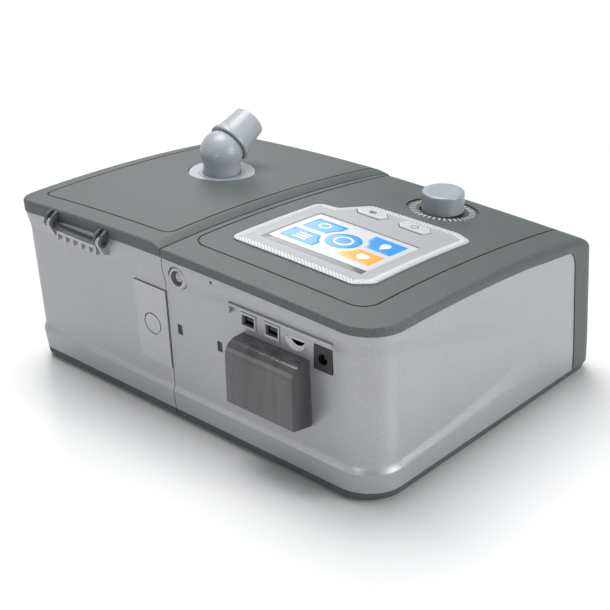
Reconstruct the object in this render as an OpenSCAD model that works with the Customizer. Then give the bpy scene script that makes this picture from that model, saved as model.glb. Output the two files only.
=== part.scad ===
// Bedside breathing-air machine: a main unit with blower, screen and ports, and a heated
// humidifier that docks on its end, with a hinged lid and a swivelling hose elbow.
// Millimetres, +Z up, +Y is the side with the ports, +X is the humidifier end.
// The origin is on the table, under the middle of the machine's overall box.

/* [Body] */
// Length of the main unit, from its end wall to the seam
main_l = 155.3; // [150:0.1:175]
// Length of the humidifier, from the seam to its end wall
hum_l = 129.2; // [122:0.1:145]
// Depth of both units at the base
body_d = 226; // [218:1:245]
// Height of the main unit at the highest line of its roof
top_h = 116.7; // [112:0.1:130]
// How far the humidifier's lid stands above the main unit's roof
lid_step = 2.3; // [1:0.1:4]
// Thickness of the moulded walls
wall = 2.4; // [1.8:0.1:3]
// Gap between the two docked units
dock_gap = 0.5; // [0.3:0.1:1]
// Gap between parts that are screwed or clipped together
fit_gap = 0.2; // [0.1:0.05:0.4]

/* [Body shape] */
// Height of the dark base tray's side band
base_h = 7.4; // [6:0.1:9]
// Thickness of the base floor
floor_t = 2.6; // [2:0.1:3.5]
// Height of the rubber feet below the floor
foot_h = 1.2; // [0.8:0.1:2]
// How far the base edge tucks in at the floor
base_tuck = 2.4; // [1:0.1:4]
// Height of the proud band at the foot of the walls
band_h = 21; // [16:1:28]
// How far that band stands out past the base
band_out = 1.7; // [1:0.1:2.5]
// How far the back wall leans out between the band and the roof
back_lean = 5.2; // [2:0.1:8]
// How far the end walls lean out between the band and the roof
end_lean = 1.8; // [0:0.1:4]
// How far the front leans back from base to roof height
front_lean = 17.5; // [8:0.5:24]
// Radius of the main unit's back corner, seen from above
main_corner_r = 24; // [18:1:30]
// Radius of the humidifier's back corner, seen from above
hum_corner_r = 12; // [8:1:18]
// Radius of both front corners, seen from above
front_corner_r = 12; // [8:1:20]
// Radius of the roof's fall from back to front
roof_r = 1190; // [900:10:1500]
// Distance from the back to the roof's highest line
roof_peak = 18; // [0:1:40]
// Radius of the main roof's crown along its length
main_crown_r = 4000; // [3000:100:6000]
// Radius of the lid's crown along its length
lid_crown_r = 1630; // [1300:10:2500]
// Radius where the roof rolls over into the front
front_roll = 25; // [18:1:30]
// Height of the dark rim of the main cover
main_rim_h = 5.6; // [4:0.1:8]
// Height of the dark rim of the lid
lid_rim_h = 7.6; // [6:0.1:10]
// How far the dark rims stand out past the shells
rim_out = 0.6; // [0.3:0.1:1.5]
// Width of the dark fascia that shows on the end walls
fascia_w = 24; // [16:1:32]
// Radius of the end panel's upper front corner
panel_r = 13; // [8:1:18]
// Depth of the shallow recess in the silver walls
relief_d = 1.2; // [0.6:0.1:1.6]
// Lowest height of that recess
relief_z0 = 23; // [22:0.5:30]
// Highest point of that recess on the back wall
relief_z1 = 97; // [90:0.5:100]
// Depth and width of the shadow groove in the roofs
groove = 0.7; // [0.4:0.1:1]

/* [Screen and keys] */
// Distance from the end wall to the middle of the screen
screen_x = 85.2; // [80:0.1:90]
// Distance from the back to the middle of the screen
screen_y = 69.9; // [66:0.1:74]
// Length of the screen glass
screen_l = 76; // [70:0.5:80]
// Depth of the screen glass
screen_d = 54; // [50:0.5:58]
// Width of the bezel round the screen
bezel_edge = 12.6; // [11:0.1:14]
// Height of the bezel above the roof
bezel_h = 0.9; // [0.5:0.1:1.5]
// Length of a key
key_l = 23; // [20:0.5:25]
// Depth of a key
key_d = 11.5; // [9:0.5:13]
// Distance between the keys' middles
key_pitch = 32.5; // [30:0.5:36]
// Distance from the back to the row of keys
key_y = 120; // [118:0.5:122]
// Height of the keys above the bezel
key_h = 0.9; // [0.5:0.1:1.5]
// Travel of a key
key_travel = 0.9; // [0.5:0.1:1.2]

/* [Knob] */
// Distance from the end wall to the knob
knob_x = 82; // [75:0.5:90]
// Distance from the back to the knob
knob_y = 166; // [162:0.5:170]
// Diameter of the knob
knob_dia = 27; // [22:0.5:30]
// Height of the knob above its dish
knob_h = 12.4; // [9:0.1:16]
// Outer diameter of the tick ring
ring_dia = 44; // [40:0.5:48]
// Number of ticks round the knob
ticks = 30; // [12:1:36]
// Travel of the knob when it is pressed
knob_travel = 0.8; // [0.4:0.1:1]
// Diameter of the encoder shaft
shaft_dia = 6; // [5:0.5:8]

/* [Hose outlet] */
// Distance from the seam to the outlet
outlet_x = 65.4; // [60:0.1:70]
// Distance from the back to the outlet
outlet_y = 110.4; // [105:0.1:116]
// Diameter of the outlet disc
disc_dia = 44.4; // [40:0.1:50]
// Diameter of the elbow's foot
elbow_dia = 24.3; // [22:0.1:26]
// Diameter of the elbow's ball
ball_dia = 28; // [26.5:0.1:31]
// Height of the ball's middle above the disc
ball_h = 14; // [12:0.1:20]
// Lean of the hose connector from upright
connector_lean = 62; // [45:1:70]
// Outer diameter of the hose connector
connector_dia = 22; // [21.8:0.05:22.2]
// Length of the hose connector's straight end
connector_l = 12.5; // [10:0.5:14]
// Diameter of the air path through elbow and connector
bore_dia = 18; // [15:0.5:18.5]

/* [Back panel] */
// Distance from the end wall to the middle of the filter cover
filter_x = 75.8; // [72:0.1:80]
// Width of the filter cover
filter_w = 62.5; // [56:0.5:66]
// Height of the filter cover's lower edge
filter_z0 = 40; // [36:0.5:44]
// Height of the filter cover's upper edge
filter_z1 = 82; // [80:0.5:84]
// How far the filter cover reaches past the base
filter_reach = 20; // [16:0.5:24]
// Distance from the end wall to the middle of the power jack
jack_x = 34.6; // [33:0.1:36]
// Height of the power jack
jack_z = 86.3; // [85:0.1:87.5]
// Inside diameter of the power jack
jack_dia = 6.4; // [5.5:0.1:7]
// Diameter of the accessory socket
socket_dia = 14; // [12:0.5:15]
// Width of the release button
release_w = 27.2; // [24:0.1:30]
// Height of the release button's lower edge
release_z0 = 36; // [32:0.5:40]
// Height of the release button's upper edge
release_z1 = 88; // [84:0.5:90]

/* [Lid hinge] */
// Distance from the seam to the middle of the hinge
hinge_x = 71; // [66:0.5:76]
// Distance between the two knuckle pairs
hinge_span = 45; // [40:0.5:50]
// Width of one knuckle pair
knuckle_w = 7; // [6:0.1:9]
// Diameter of the hinge pin
hinge_pin_dia = 2.4; // [2:0.1:3]
// Distance from the back of the base to the hinge pin
hinge_out = 10.6; // [10:0.1:12]
// Height of the hinge pin
hinge_z = 107.6; // [106:0.1:109]

/* [Water tank] */
// Length of the tank
tank_l = 104; // [90:1:108]
// Height of the tank without its cover
tank_h = 76; // [60:1:80]
// Wall of the tank
tank_wall = 1.8; // [1.2:0.1:2.5]

/* [Blower] */
// Outer radius of the volute
volute_r = 37; // [34:0.5:40]
// Height of the volute
volute_h = 34; // [30:0.5:38]
// Radius of the impeller
impeller_r = 28; // [24:0.5:30]
// Number of impeller blades
blades = 9; // [5:1:11]
// Radius of the blower motor
motor_r = 17; // [14:0.5:20]

/* [Hidden] */
eps = 0.01;
far = 400;
round_fn = 64;
corner_steps = 8;
total_l = main_l + hum_l;
end_x = -total_l / 2;
back_y = (body_d - filter_reach) / 2;
crown_x = main_l - 15;
roof_top = top_h + lid_step + 20;
front_angle = atan(front_lean / (top_h - base_h));
main_x1 = main_l - dock_gap / 2;
hum_x0 = main_l + dock_gap / 2;

dark = [0.50, 0.53, 0.52];
silver = [0.68, 0.68, 0.70];
rubber = [0.16, 0.16, 0.17];

// Everything is placed from the foot of the back corner: x along the machine, y to the back.
module place() {
    translate([end_x, back_y, 0]) children();
}

module slab(x0, x1, y0, y1, z0, z1) {
    translate([x0, y0, z0]) cube([x1 - x0, y1 - y0, z1 - z0]);
}

// ---- The moulded body: rounded rings lofted up the leaning walls ----
back_line = [[0, -base_tuck - 1], [foot_h, -base_tuck], [base_h * 0.45, -base_tuck * 0.2], [base_h, 0],
    [band_h, band_out], [top_h, band_out + back_lean], [roof_top, band_out + back_lean]];
end_line = [[0, -base_tuck - 1], [foot_h, -base_tuck], [base_h * 0.45, -base_tuck * 0.2], [base_h, 0],
    [band_h, band_out / 2], [top_h, band_out / 2 + end_lean], [roof_top, band_out / 2 + end_lean]];
levels = [base_h * 0.45, base_h, band_h, top_h];

function front_line(z) = -body_d + (z - base_h) * tan(front_angle) + (z < base_h ? 0.8 * (base_h - z) : 0);
function arc_points(cx, cy, r, a0) =
    [for (i = [0:corner_steps]) let (a = a0 + 90 * i / corner_steps) [cx + r * cos(a), cy + r * sin(a)]];
function ring(z, grow) =
    let (x0 = -lookup(z, end_line) - grow, x1 = total_l + lookup(z, end_line) + grow,
        y0 = front_line(z) - grow, y1 = lookup(z, back_line) + grow,
        rm = main_corner_r + grow, rh = hum_corner_r + grow, rf = front_corner_r + grow)
    concat(arc_points(x1 - rh, y1 - rh, rh, 0), arc_points(x0 + rm, y1 - rm, rm, 90),
        arc_points(x0 + rf, y0 + rf, rf, 180), arc_points(x1 - rf, y0 + rf, rf, 270));

// Solid inside the body's walls from z0 to z1, with every wall moved out by grow.
module body(grow, z0, z1) {
    zs = concat([z0], [for (l = levels) if (l > z0 + eps && l < z1 - eps) l], [z1]);
    n = 4 * (corner_steps + 1);
    last = (len(zs) - 1) * n;
    points = [for (z = zs) for (p = ring(z, grow)) [p[0], p[1], z]];
    sides = [for (k = [0:len(zs) - 2]) for (i = [0:n - 1])
        [k * n + i, (k + 1) * n + i, (k + 1) * n + (i + 1) % n, k * n + (i + 1) % n]];
    bottom = [[for (i = [0:n - 1]) i]];
    top = [[for (i = [0:n - 1]) last + n - 1 - i]];
    polyhedron(points = points, faces = concat(sides, bottom, top), convexity = 4);
}

// ---- The roof: a side profile swept along a slight crown ----
function roll_y(z) = front_line(z) + front_roll / cos(front_angle);
function roll_z(y, top) = top - roof_r + sqrt(pow(roof_r - front_roll, 2) - pow(y + roof_peak, 2));
function roof_z(x, y, top, crown) =
    top - roof_r + sqrt(roof_r * roof_r - pow(y + roof_peak, 2)) - pow(x - crown_x, 2) / (2 * crown);

module crowned(top, crown) {
    sweep = 2 * asin(200 / crown);
    translate([crown_x, 0, top - crown]) rotate([0, -90, -90]) rotate([0, 0, -sweep / 2])
        rotate_extrude(angle = sweep, $fn = round(360 * 24 / sweep))
            translate([crown - top, 0]) mirror([1, -1]) children();
}

// Side view below the roof arc, set in by inset.
module under_arc(top, inset) {
    intersection() {
        translate([-roof_peak, top - roof_r]) circle(r = roof_r - inset, $fn = 900);
        translate([-body_d - 40, -20]) square([body_d + 80, top + 40]);
    }
}

// The same with the rolled front edge.
module roof_profile(top, inset) {
    zc = roll_z(roll_y(roll_z(roll_y(top - front_roll - 11), top)), top);
    yc = roll_y(zc);
    tangent_y = -roof_peak + (yc + roof_peak) * (roof_r - inset) / (roof_r - front_roll);
    tangent_z = zc + (front_roll - inset) * sin(front_angle);
    difference() {
        under_arc(top, inset);
        difference() {
            translate([-body_d - 50, tangent_z]) square([body_d + 50 + tangent_y, 80]);
            translate([yc, zc]) circle(r = front_roll - inset + 0.05, $fn = 180);
        }
    }
}

function panel_y(z) = front_line(z) + fascia_w + panel_r / cos(front_angle);
function panel_z(y, top, rim) = top - roof_r + sqrt(pow(roof_r - rim - panel_r, 2) - pow(y + roof_peak, 2));

// Side view of what the silver walls cover: under the rim and behind the fascia.
module panel_profile(top, rim, gap) {
    zc = panel_z(panel_y(panel_z(panel_y(top - panel_r - 20), top, rim)), top, rim);
    yc = panel_y(zc);
    tangent_y = -roof_peak + (yc + roof_peak) * (roof_r - rim - gap) / (roof_r - rim - panel_r);
    tangent_z = zc + (panel_r - gap) * sin(front_angle);
    difference() {
        intersection() {
            under_arc(top, rim + gap);
            polygon([[front_line(base_h) + fascia_w + gap, -20], [60, -20], [60, top + 20],
                [front_line(top + 20) + fascia_w + gap, top + 20],
                [front_line(base_h) + fascia_w + gap, base_h]]);
        }
        difference() {
            translate([-body_d - 50, tangent_z]) square([body_d + 50 + tangent_y, 80]);
            translate([yc, zc]) circle(r = panel_r - gap + 0.05, $fn = 90);
        }
    }
}

module main_roof(inset) { crowned(top_h, main_crown_r) roof_profile(top_h, inset); }
module lid_roof(inset) { crowned(top_h + lid_step, lid_crown_r) roof_profile(top_h + lid_step, inset); }
module main_panel(gap) { crowned(top_h, main_crown_r) panel_profile(top_h, main_rim_h, gap); }
module lid_panel(gap) {
    crowned(top_h + lid_step, lid_crown_r) panel_profile(top_h + lid_step, lid_rim_h, gap);
}
module main_half(x1 = main_x1) { slab(-far, x1, -far, far, -far, far); }
module hum_half(x0 = hum_x0) { slab(x0, far + total_l, -far, far, -far, far); }

// ---- Relief in the silver walls ----
relief_outline = [[10, relief_z0], [-117, relief_z0 + 2], [-160, relief_z0 + 1.5], [-166, relief_z0 + 9],
    [-163, 46], [-155, 59], [-142, 68], [-122, 76], [-91, 85.4], [-52, 94], [10, relief_z1]];
module relief() {
    difference() {
        union() {
            slab(-20, total_l + 20, -hum_corner_r, 30, relief_z0, relief_z1);
            slab(-20, main_corner_r, -main_corner_r, 30, relief_z0, relief_z1);
            translate([-20, 0, 0]) rotate([90, 0, 90])
                linear_extrude(20 + main_corner_r) polygon(relief_outline);
            translate([total_l - hum_corner_r, 0, 0]) rotate([90, 0, 90])
                linear_extrude(20 + hum_corner_r) polygon(relief_outline);
        }
        body(-relief_d, relief_z0 - 5, relief_z1 + 5);
    }
}

// ---- Shared fixing points ----
shell_t = wall + relief_d;
floor_z = foot_h + floor_t;
post_r = 5.5;
screw_r = 1.5;
screw_head_r = 3;
post_top = 26;
foot_r = 8;
foot_sink = 0.8;
post_in = shell_t + post_r - 2.3;
front_post_y = -body_d + fascia_w + 14;
function corner_post(r) = r - (r - post_in) * cos(45);
main_posts = [[corner_post(main_corner_r), -corner_post(main_corner_r)], [main_x1 - post_in, -post_in],
    [post_in, front_post_y], [main_x1 - post_in, front_post_y]];
hum_posts = [[hum_x0 + post_in, front_post_y], [hum_x0 + post_in + 30, -post_in],
    [total_l - corner_post(hum_corner_r), -corner_post(hum_corner_r)],
    [total_l - post_in, front_post_y]];
main_foot_at = [[26, -30], [main_l - 22, -26], [26, -body_d + 32], [main_l - 22, -body_d + 32]];
hum_foot_at = [[main_l + 22, -26], [total_l - 22, -24],
    [main_l + 22, -body_d + 32], [total_l - 24, -body_d + 32]];

module at_each(points) { for (p = points) translate([p[0], p[1], 0]) children(); }

module tray(x0, x1, inner_x0, inner_x1, posts_at, feet_at) {
    difference() {
        intersection() { body(0, foot_h, base_h); slab(x0, x1, -far, far, -far, far); }
        intersection() { body(-wall, floor_z, base_h + 2); slab(inner_x0, inner_x1, -far, far, -far, far); }
        at_each(feet_at) translate([0, 0, foot_h - 1])
            cylinder(r = foot_r + fit_gap, h = 1 + foot_sink, $fn = round_fn);
        at_each(posts_at) {
            cylinder(r = screw_r + fit_gap, h = base_h, $fn = 32);
            cylinder(r = screw_head_r + fit_gap, h = foot_h + 1.4, $fn = 32);
        }
    }
}
module feet(feet_at) {
    at_each(feet_at) rotate_extrude($fn = round_fn)
        polygon([[0, 0], [foot_r - 0.8, 0], [foot_r, foot_h * 0.6],
            [foot_r, foot_h + foot_sink], [0, foot_h + foot_sink]]);
}
module screws(posts_at) {
    at_each(posts_at) translate([0, 0, foot_h]) difference() {
        union() {
            cylinder(r = screw_head_r, h = 1.4, $fn = 32);
            cylinder(r = screw_r - 0.05, h = 16, $fn = 32);
        }
        translate([0, 0, -1]) cylinder(r = 1.2, h = 1.9, $fn = 6);
    }
}
module posts(at, z0) {
    at_each(at) translate([0, 0, z0]) cylinder(r = post_r, h = post_top - z0, $fn = 32);
}
module post_holes(at) {
    at_each(at) translate([0, 0, base_h - 2]) cylinder(r = screw_r, h = 14, $fn = 32);
}

// ---- Main unit: outside ----
pad_y = 3.7;
pad_x0 = 27.6;
pad_x1 = 102.6;
pad_z0 = filter_z1 + 1;
pad_z1 = 99;
port_w = 11.7;
port_tall = 9.6;
port_z = 90.5;
port_xs = [71.6, 89.3];
card_x = 54.7;
card_z = 91.2;
card_w = 11;
card_t = 1;
card_l = 15;
jack_plate_w = 13;
jack_plate_z0 = 79;
jack_plate_z1 = 94;
socket_x = main_l - 12;
socket_z = 100.9;
frame_w = 54;
frame_z0 = filter_z0 + 5;
frame_z1 = filter_z1 - 5;
coupler_y = -82;
coupler_z = 62;
coupler_r = 12;
hatch = 4;
hatch_at = [[113.6, 65.7], [146.2, 65.5]];

module main_base() place() color(dark) tray(-far, main_x1, -far, main_x1 - wall, main_posts, main_foot_at);

module main_shell() place() color(silver) difference() {
    union() {
        difference() {
            intersection() { body(0, base_h + fit_gap, top_h + 2); main_panel(fit_gap); main_half(); }
            intersection() { body(-shell_t, base_h, top_h + 4); main_half(main_x1 - shell_t); }
        }
        intersection() {
            slab(pad_x0 - 2, pad_x1 + 2, -1.6, pad_y, jack_plate_z0 - 3, pad_z1 + 3);
            body(-relief_d, relief_z0, relief_z1 + 10);
        }
        intersection() {
            posts(main_posts, base_h + fit_gap);
            body(-1, base_h, post_top + 5);
            main_half(main_x1 - 1);
        }
    }
    relief();
    post_holes(main_posts);
    slab(pad_x0, pad_x1, pad_y, 40, pad_z0, pad_z1);
    slab(jack_x - jack_plate_w / 2 - fit_gap, jack_x + jack_plate_w / 2 + fit_gap, pad_y - 1.4, 40,
        jack_plate_z0 - fit_gap, jack_plate_z1 + fit_gap);
    for (x = port_xs)
        slab(x - port_w / 2, x + port_w / 2, -20, 40, port_z - port_tall / 2, port_z + port_tall / 2);
    slab(card_x - card_w / 2 - 0.5, card_x + card_w / 2 + 0.5, -20, 40, card_z - 1.4, card_z + 1.4);
    translate([card_x, pad_y + 3.6, card_z]) sphere(r = 6.4, $fn = round_fn);
    translate([jack_x, 40, jack_z]) rotate([90, 0, 0])
        cylinder(r = jack_dia / 2 + 2.2, h = 60, $fn = round_fn);
    slab(filter_x - frame_w / 2, filter_x + frame_w / 2, -20, 40, frame_z0, frame_z1);
    translate([socket_x, 40, socket_z]) rotate([90, 0, 0])
        cylinder(r = socket_dia / 2 + 0.3, h = 60, $fn = round_fn);
    translate([115.5, 40, 107.2]) rotate([90, 0, 0]) cylinder(r = 1, h = 60, $fn = 24);
    for (h = hatch_at) slab(h[0] - hatch / 2, h[0] + hatch / 2, -20, 40, h[1] - hatch / 2, h[1] + hatch / 2);
    translate([main_x1 - 20, coupler_y, coupler_z]) rotate([0, 90, 0])
        cylinder(r = coupler_r + fit_gap, h = 40, $fn = round_fn);
}

bezel_x0 = screen_x - screen_l / 2 - bezel_edge;
bezel_x1 = screen_x + screen_l / 2 + bezel_edge;
bezel_y0 = -key_y - 15;
bezel_y1 = -screen_y + screen_d / 2 + bezel_edge;
module bezel_outline(grow) {
    offset(r = 6 + grow, $fn = 32) offset(delta = -6)
        polygon([[bezel_x0, bezel_y0 + 5], [bezel_x0 + 13, bezel_y0],
        [bezel_x1 - 25, bezel_y0 + 3], [bezel_x1 - 14, bezel_y0 + 23], [bezel_x1, bezel_y0 + 25],
        [bezel_x1, bezel_y1], [bezel_x0 + 9, bezel_y1], [bezel_x0, bezel_y1 - 9]]);
}
module screen_outline(grow) {
    translate([screen_x - screen_l / 2 - grow, -screen_y - screen_d / 2 - grow])
        square([screen_l + 2 * grow, screen_d + 2 * grow]);
}
key_xs = [screen_x - key_pitch / 2, screen_x + key_pitch / 2];
module key_outline(grow) {
    translate([0, -key_y]) offset(delta = grow)
        polygon([[-key_l / 2 + 2, key_d / 2], [key_l / 2 - 5, key_d / 2],
        [key_l / 2, key_d / 2 - 5], [key_l / 2 - 2, -key_d / 2], [-key_l / 2 + 5, -key_d / 2],
        [-key_l / 2, -key_d / 2 + 5]]);
}
module column(z0, z1) { translate([0, 0, z0]) linear_extrude(z1 - z0) children(); }

dish_r = ring_dia / 2 + 1;
dish_z = roof_z(knob_x, -knob_y - dish_r, top_h, main_crown_r) + 0.3;
board_z = 87;
board_t = 1.6;
board_top = board_z + board_t;
cover_posts = [[18, -30], [main_l - 14, -30], [18, -body_d + 48], [main_l - 14, -body_d + 48]];
bush_r = 4.6;

// Line of the shadow groove that frames the roof panel and runs on down the front.
module main_groove(grow) {
    offset(r = 12 + grow, $fn = 48) offset(delta = -12)
        polygon([[19, -body_d - 60], [main_l - 5, -body_d - 60], [main_l - 5, -12], [19, -12]]);
}
module main_cover() place() color(dark) difference() {
    union() {
        difference() {
            intersection() { body(rim_out, base_h + fit_gap, roof_top - 10); main_roof(0); main_half(); }
            intersection() {
                body(-wall, base_h - 1, roof_top - 8);
                main_roof(wall);
                main_half(main_x1 - wall);
            }
            main_panel(0);
        }
        intersection() {
            translate([knob_x, -knob_y, dish_z - wall]) cylinder(r = dish_r + wall, h = 30, $fn = round_fn);
            main_roof(wall / 2);
        }
        intersection() {
            at_each(cover_posts) translate([0, 0, board_top]) cylinder(r = 3, h = 40, $fn = 24);
            main_roof(wall / 2);
        }
    }
    translate([knob_x, -knob_y, dish_z]) cylinder(r = dish_r, h = 30, $fn = round_fn);
    translate([knob_x, -knob_y, dish_z - 10]) cylinder(r = bush_r + fit_gap, h = 30, $fn = round_fn);
    difference() { column(90, roof_top) bezel_outline(fit_gap); main_roof(0.8); }
    difference() { column(90, roof_top) screen_outline(fit_gap); main_roof(1.4); }
    column(90, roof_top) screen_outline(-2.5);
    for (x = key_xs) translate([x, 0, 0]) column(90, roof_top) key_outline(0.4);
    difference() {
        column(60, roof_top) difference() { main_groove(groove / 2); main_groove(-groove / 2); }
        main_roof(groove);
    }
}

module control_bezel() place() color([0.80, 0.81, 0.83]) difference() {
    intersection() { column(90, roof_top) bezel_outline(0); main_roof(-bezel_h); }
    main_roof(0.6);
    column(80, roof_top) screen_outline(fit_gap);
    for (x = key_xs) translate([x, 0, 0]) column(80, roof_top) key_outline(0.4);
}

module screen_glass() place() color([0.93, 0.95, 0.97]) difference() {
    intersection() { column(90, roof_top) screen_outline(0); main_roof(-bezel_h + 0.4); }
    main_roof(1.2);
}

display_z1 = roof_z(screen_x - screen_l / 2, -screen_y - screen_d / 2, top_h, main_crown_r) - 1.6;
module display_module() place() color([0.3, 0.32, 0.34]) union() {
    column(display_z1 - 6, display_z1) screen_outline(-3.2);
    for (sx = [-1, 1]) for (sy = [-1, 1])
        translate([screen_x + sx * (screen_l / 2 - 8), -screen_y + sy * (screen_d / 2 - 8), board_top])
            cylinder(r = 2.5, h = display_z1 - board_top - 3, $fn = 24);
}

switch_h = 2.5;
flange_t = 1.2;
flange_edge = 1.5;
function flange_z(x) =
    roof_z(x - key_l / 2 - flange_edge, -key_y - key_d / 2 - flange_edge, top_h, main_crown_r) - wall - 0.4;
module key(x) union() {
    intersection() {
        translate([x, 0, 0]) column(flange_z(x), roof_top) key_outline(0);
        main_roof(-bezel_h - key_h);
    }
    translate([x - key_l / 2 - flange_edge, -key_y - key_d / 2 - flange_edge, flange_z(x) - flange_t])
        cube([key_l + 2 * flange_edge, key_d + 2 * flange_edge, flange_t]);
    translate([x, -key_y, board_top + switch_h + key_travel + 0.1])
        cylinder(r = 2.4, h = flange_z(x) - board_top - switch_h - key_travel - 1, $fn = 24);
}
module key_left() place() color("white") key(key_xs[0]);
module key_right() place() color("white") key(key_xs[1]);
module key_switches() place() color([0.2, 0.2, 0.2]) {
    for (x = key_xs) translate([x - 3, -key_y - 3, board_top]) union() {
        cube([6, 6, switch_h - 0.6]);
        translate([3, 3, 0]) cylinder(r = 1.75, h = switch_h, $fn = 24);
    }
}

knob_gap = 0.6;
knob_z0 = dish_z + knob_travel + knob_gap;
knob_z1 = dish_z + knob_h + knob_travel;
hub_z1 = knob_z1 - 3.2;
shaft_z0 = board_top + 3;
shaft_r = shaft_dia / 2;
module at_knob() { translate([knob_x, -knob_y, 0]) children(); }
module knob() place() color([0.72, 0.75, 0.79]) at_knob() difference() {
    rotate_extrude($fn = 96)
        polygon([[0, knob_z0], [knob_dia / 2 - 0.4, knob_z0], [knob_dia / 2, knob_z0 + 0.6],
        [knob_dia / 2 - 0.3, knob_z1 - 1.2], [knob_dia / 2 - 1.3, knob_z1 - 0.2], [knob_dia / 2 - 3, knob_z1],
        [0, knob_z1]]);
    translate([0, 0, knob_z0 - 1]) difference() {
        cylinder(r = knob_dia / 2 - 1.8, h = hub_z1 - knob_z0 + 1, $fn = 96);
        cylinder(r = shaft_r + 2.4, h = knob_h + 2, $fn = 48);
    }
    translate([0, 0, knob_z0 - 1]) cylinder(r = shaft_r + 0.02, h = hub_z1 - knob_z0 + 1, $fn = 48);
}
module encoder_shaft() place() color([0.8, 0.8, 0.82]) at_knob()
    translate([0, 0, shaft_z0]) cylinder(r = shaft_r, h = hub_z1 - 0.2 - shaft_z0, $fn = 48);
module encoder_plunger() place() color([0.6, 0.6, 0.62]) at_knob() difference() {
    translate([0, 0, shaft_z0 + 1]) cylinder(r = shaft_r + 0.85, h = dish_z - shaft_z0 - 2, $fn = 48);
    translate([0, 0, shaft_z0 - 1]) cylinder(r = shaft_r + 0.05, h = 40, $fn = 48);
}
module encoder_body() place() color([0.35, 0.35, 0.37]) at_knob() difference() {
    union() {
        translate([-7, -7, board_top]) cube([14, 14, 7]);
        translate([0, 0, board_top + 6]) cylinder(r = bush_r, h = dish_z - board_top - 6.5, $fn = 48);
    }
    translate([0, 0, shaft_z0 - knob_travel - 0.4]) cylinder(r = shaft_r + 0.9, h = 40, $fn = 48);
}
module tick_ring() place() color("white") at_knob()
    for (i = [0:ticks - 1]) rotate([0, 0, 360 * i / ticks])
        translate([ring_dia / 2 - 5.2, -0.7, dish_z]) cube([4.6, 1.4, 0.3]);

// ---- Main unit: inside ----
module main_board() place() color([0.1, 0.4, 0.2]) difference() {
    slab(12, main_x1 - shell_t - 3, -body_d + 34, -22, board_z, board_top);
    at_each(cover_posts) translate([0, 0, board_z - 1]) cylinder(r = 1.6, h = 4, $fn = 24);
}
module data_ports() place() color([0.25, 0.25, 0.27]) for (x = port_xs) union() {
    difference() {
        slab(x - port_w / 2 + fit_gap, x + port_w / 2 - fit_gap, -10, pad_y - 0.3,
            port_z - port_tall / 2 + fit_gap,
            port_z + port_tall / 2 - fit_gap);
        slab(x - port_w / 2 + 1.4, x + port_w / 2 - 1.4, -8, 10, port_z - port_tall / 2 + 1.8,
            port_z + port_tall / 2 - 1.8);
    }
    slab(x - port_w / 2 + 2.4, x + port_w / 2 - 2.4, -8.5, 1.5, port_z - 0.9, port_z + 0.9);
}
module card_reader() place() color([0.55, 0.56, 0.58]) difference() {
    slab(card_x - card_w / 2 - 1.6, card_x + card_w / 2 + 1.6, -18, -2, card_z - 2, card_z + 2);
    slab(card_x - card_w / 2 - 0.3, card_x + card_w / 2 + 0.3, -16.5, 0, card_z - card_t / 2 - 0.3,
        card_z + card_t / 2 + 0.3);
}
module memory_card() place() color([0.15, 0.3, 0.6])
    slab(card_x - card_w / 2, card_x + card_w / 2, -card_l + 2.4, 2.4,
        card_z - card_t / 2, card_z + card_t / 2);
module power_inlet() place() color([0.15, 0.15, 0.16]) translate([jack_x, 0, jack_z]) union() {
    difference() {
        union() {
            slab(-jack_plate_w / 2, jack_plate_w / 2, pad_y - 1.2, pad_y + 0.2, jack_plate_z0 - jack_z,
                jack_plate_z1 - jack_z);
            translate([0, pad_y - 1, 0]) rotate([90, 0, 0])
                cylinder(r = jack_dia / 2 + 2, h = 13, $fn = round_fn);
        }
        translate([0, pad_y + 1, 0]) rotate([90, 0, 0]) cylinder(r = jack_dia / 2, h = 11, $fn = round_fn);
    }
    translate([0, pad_y - 2, 0]) rotate([90, 0, 0]) cylinder(r = 1, h = 10, $fn = 24);
}
module accessory_socket() place() color([0.62, 0.62, 0.65])
    translate([socket_x, 0, socket_z]) rotate([-90, 0, 0])
    difference() {
        rotate_extrude($fn = round_fn) polygon([[0, -8], [socket_dia / 2, -8], [socket_dia / 2, 5.2],
            [socket_dia / 2 - 1, 6.2], [socket_dia / 2 - 2.2, 6.2], [socket_dia / 2 - 2.2, 1.5], [2.6, 1.5],
            [2.6, 4.5], [0, 4.5]]);
        for (i = [0:3]) rotate([0, 0, 90 * i + 45]) translate([1.4, 0, -2])
            cylinder(r = 0.45, h = 8, $fn = 16);
    }

cover_roll = 15;
cover_t = 1.7;
module filter_profile(inset) {
    z0 = filter_z0 + inset;
    z1 = filter_z1 - inset;
    y1 = filter_reach - inset;
    roll = cover_roll - inset;
    difference() {
        polygon([[-5, z0 - 1.5], [y1, z0 + 3.5], [y1, z1], [-5, z1]]);
        difference() {
            translate([y1 - roll, z1 - roll]) square(40);
            translate([y1 - roll, z1 - roll]) circle(r = roll, $fn = 96);
        }
    }
}
module filter_cover() place() color([0.35, 0.35, 0.36, 0.7]) difference() {
    translate([filter_x - filter_w / 2, 0, 0]) union() {
        difference() {
            rotate([90, 0, 90]) linear_extrude(filter_w) filter_profile(0);
            translate([cover_t, 0, 0]) rotate([90, 0, 90]) linear_extrude(filter_w - 2 * cover_t)
                filter_profile(cover_t);
        }
        for (i = [1:3]) translate([filter_w * i / 4 - 0.6, 0, 0]) rotate([90, 0, 90]) linear_extrude(1.2)
            difference() { filter_profile(cover_t / 2); translate([-10, 0]) square([5 + filter_reach, 200]); }
    }
    body(fit_gap - relief_d, filter_z0 - 10, filter_z1 + 10);
}
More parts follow.
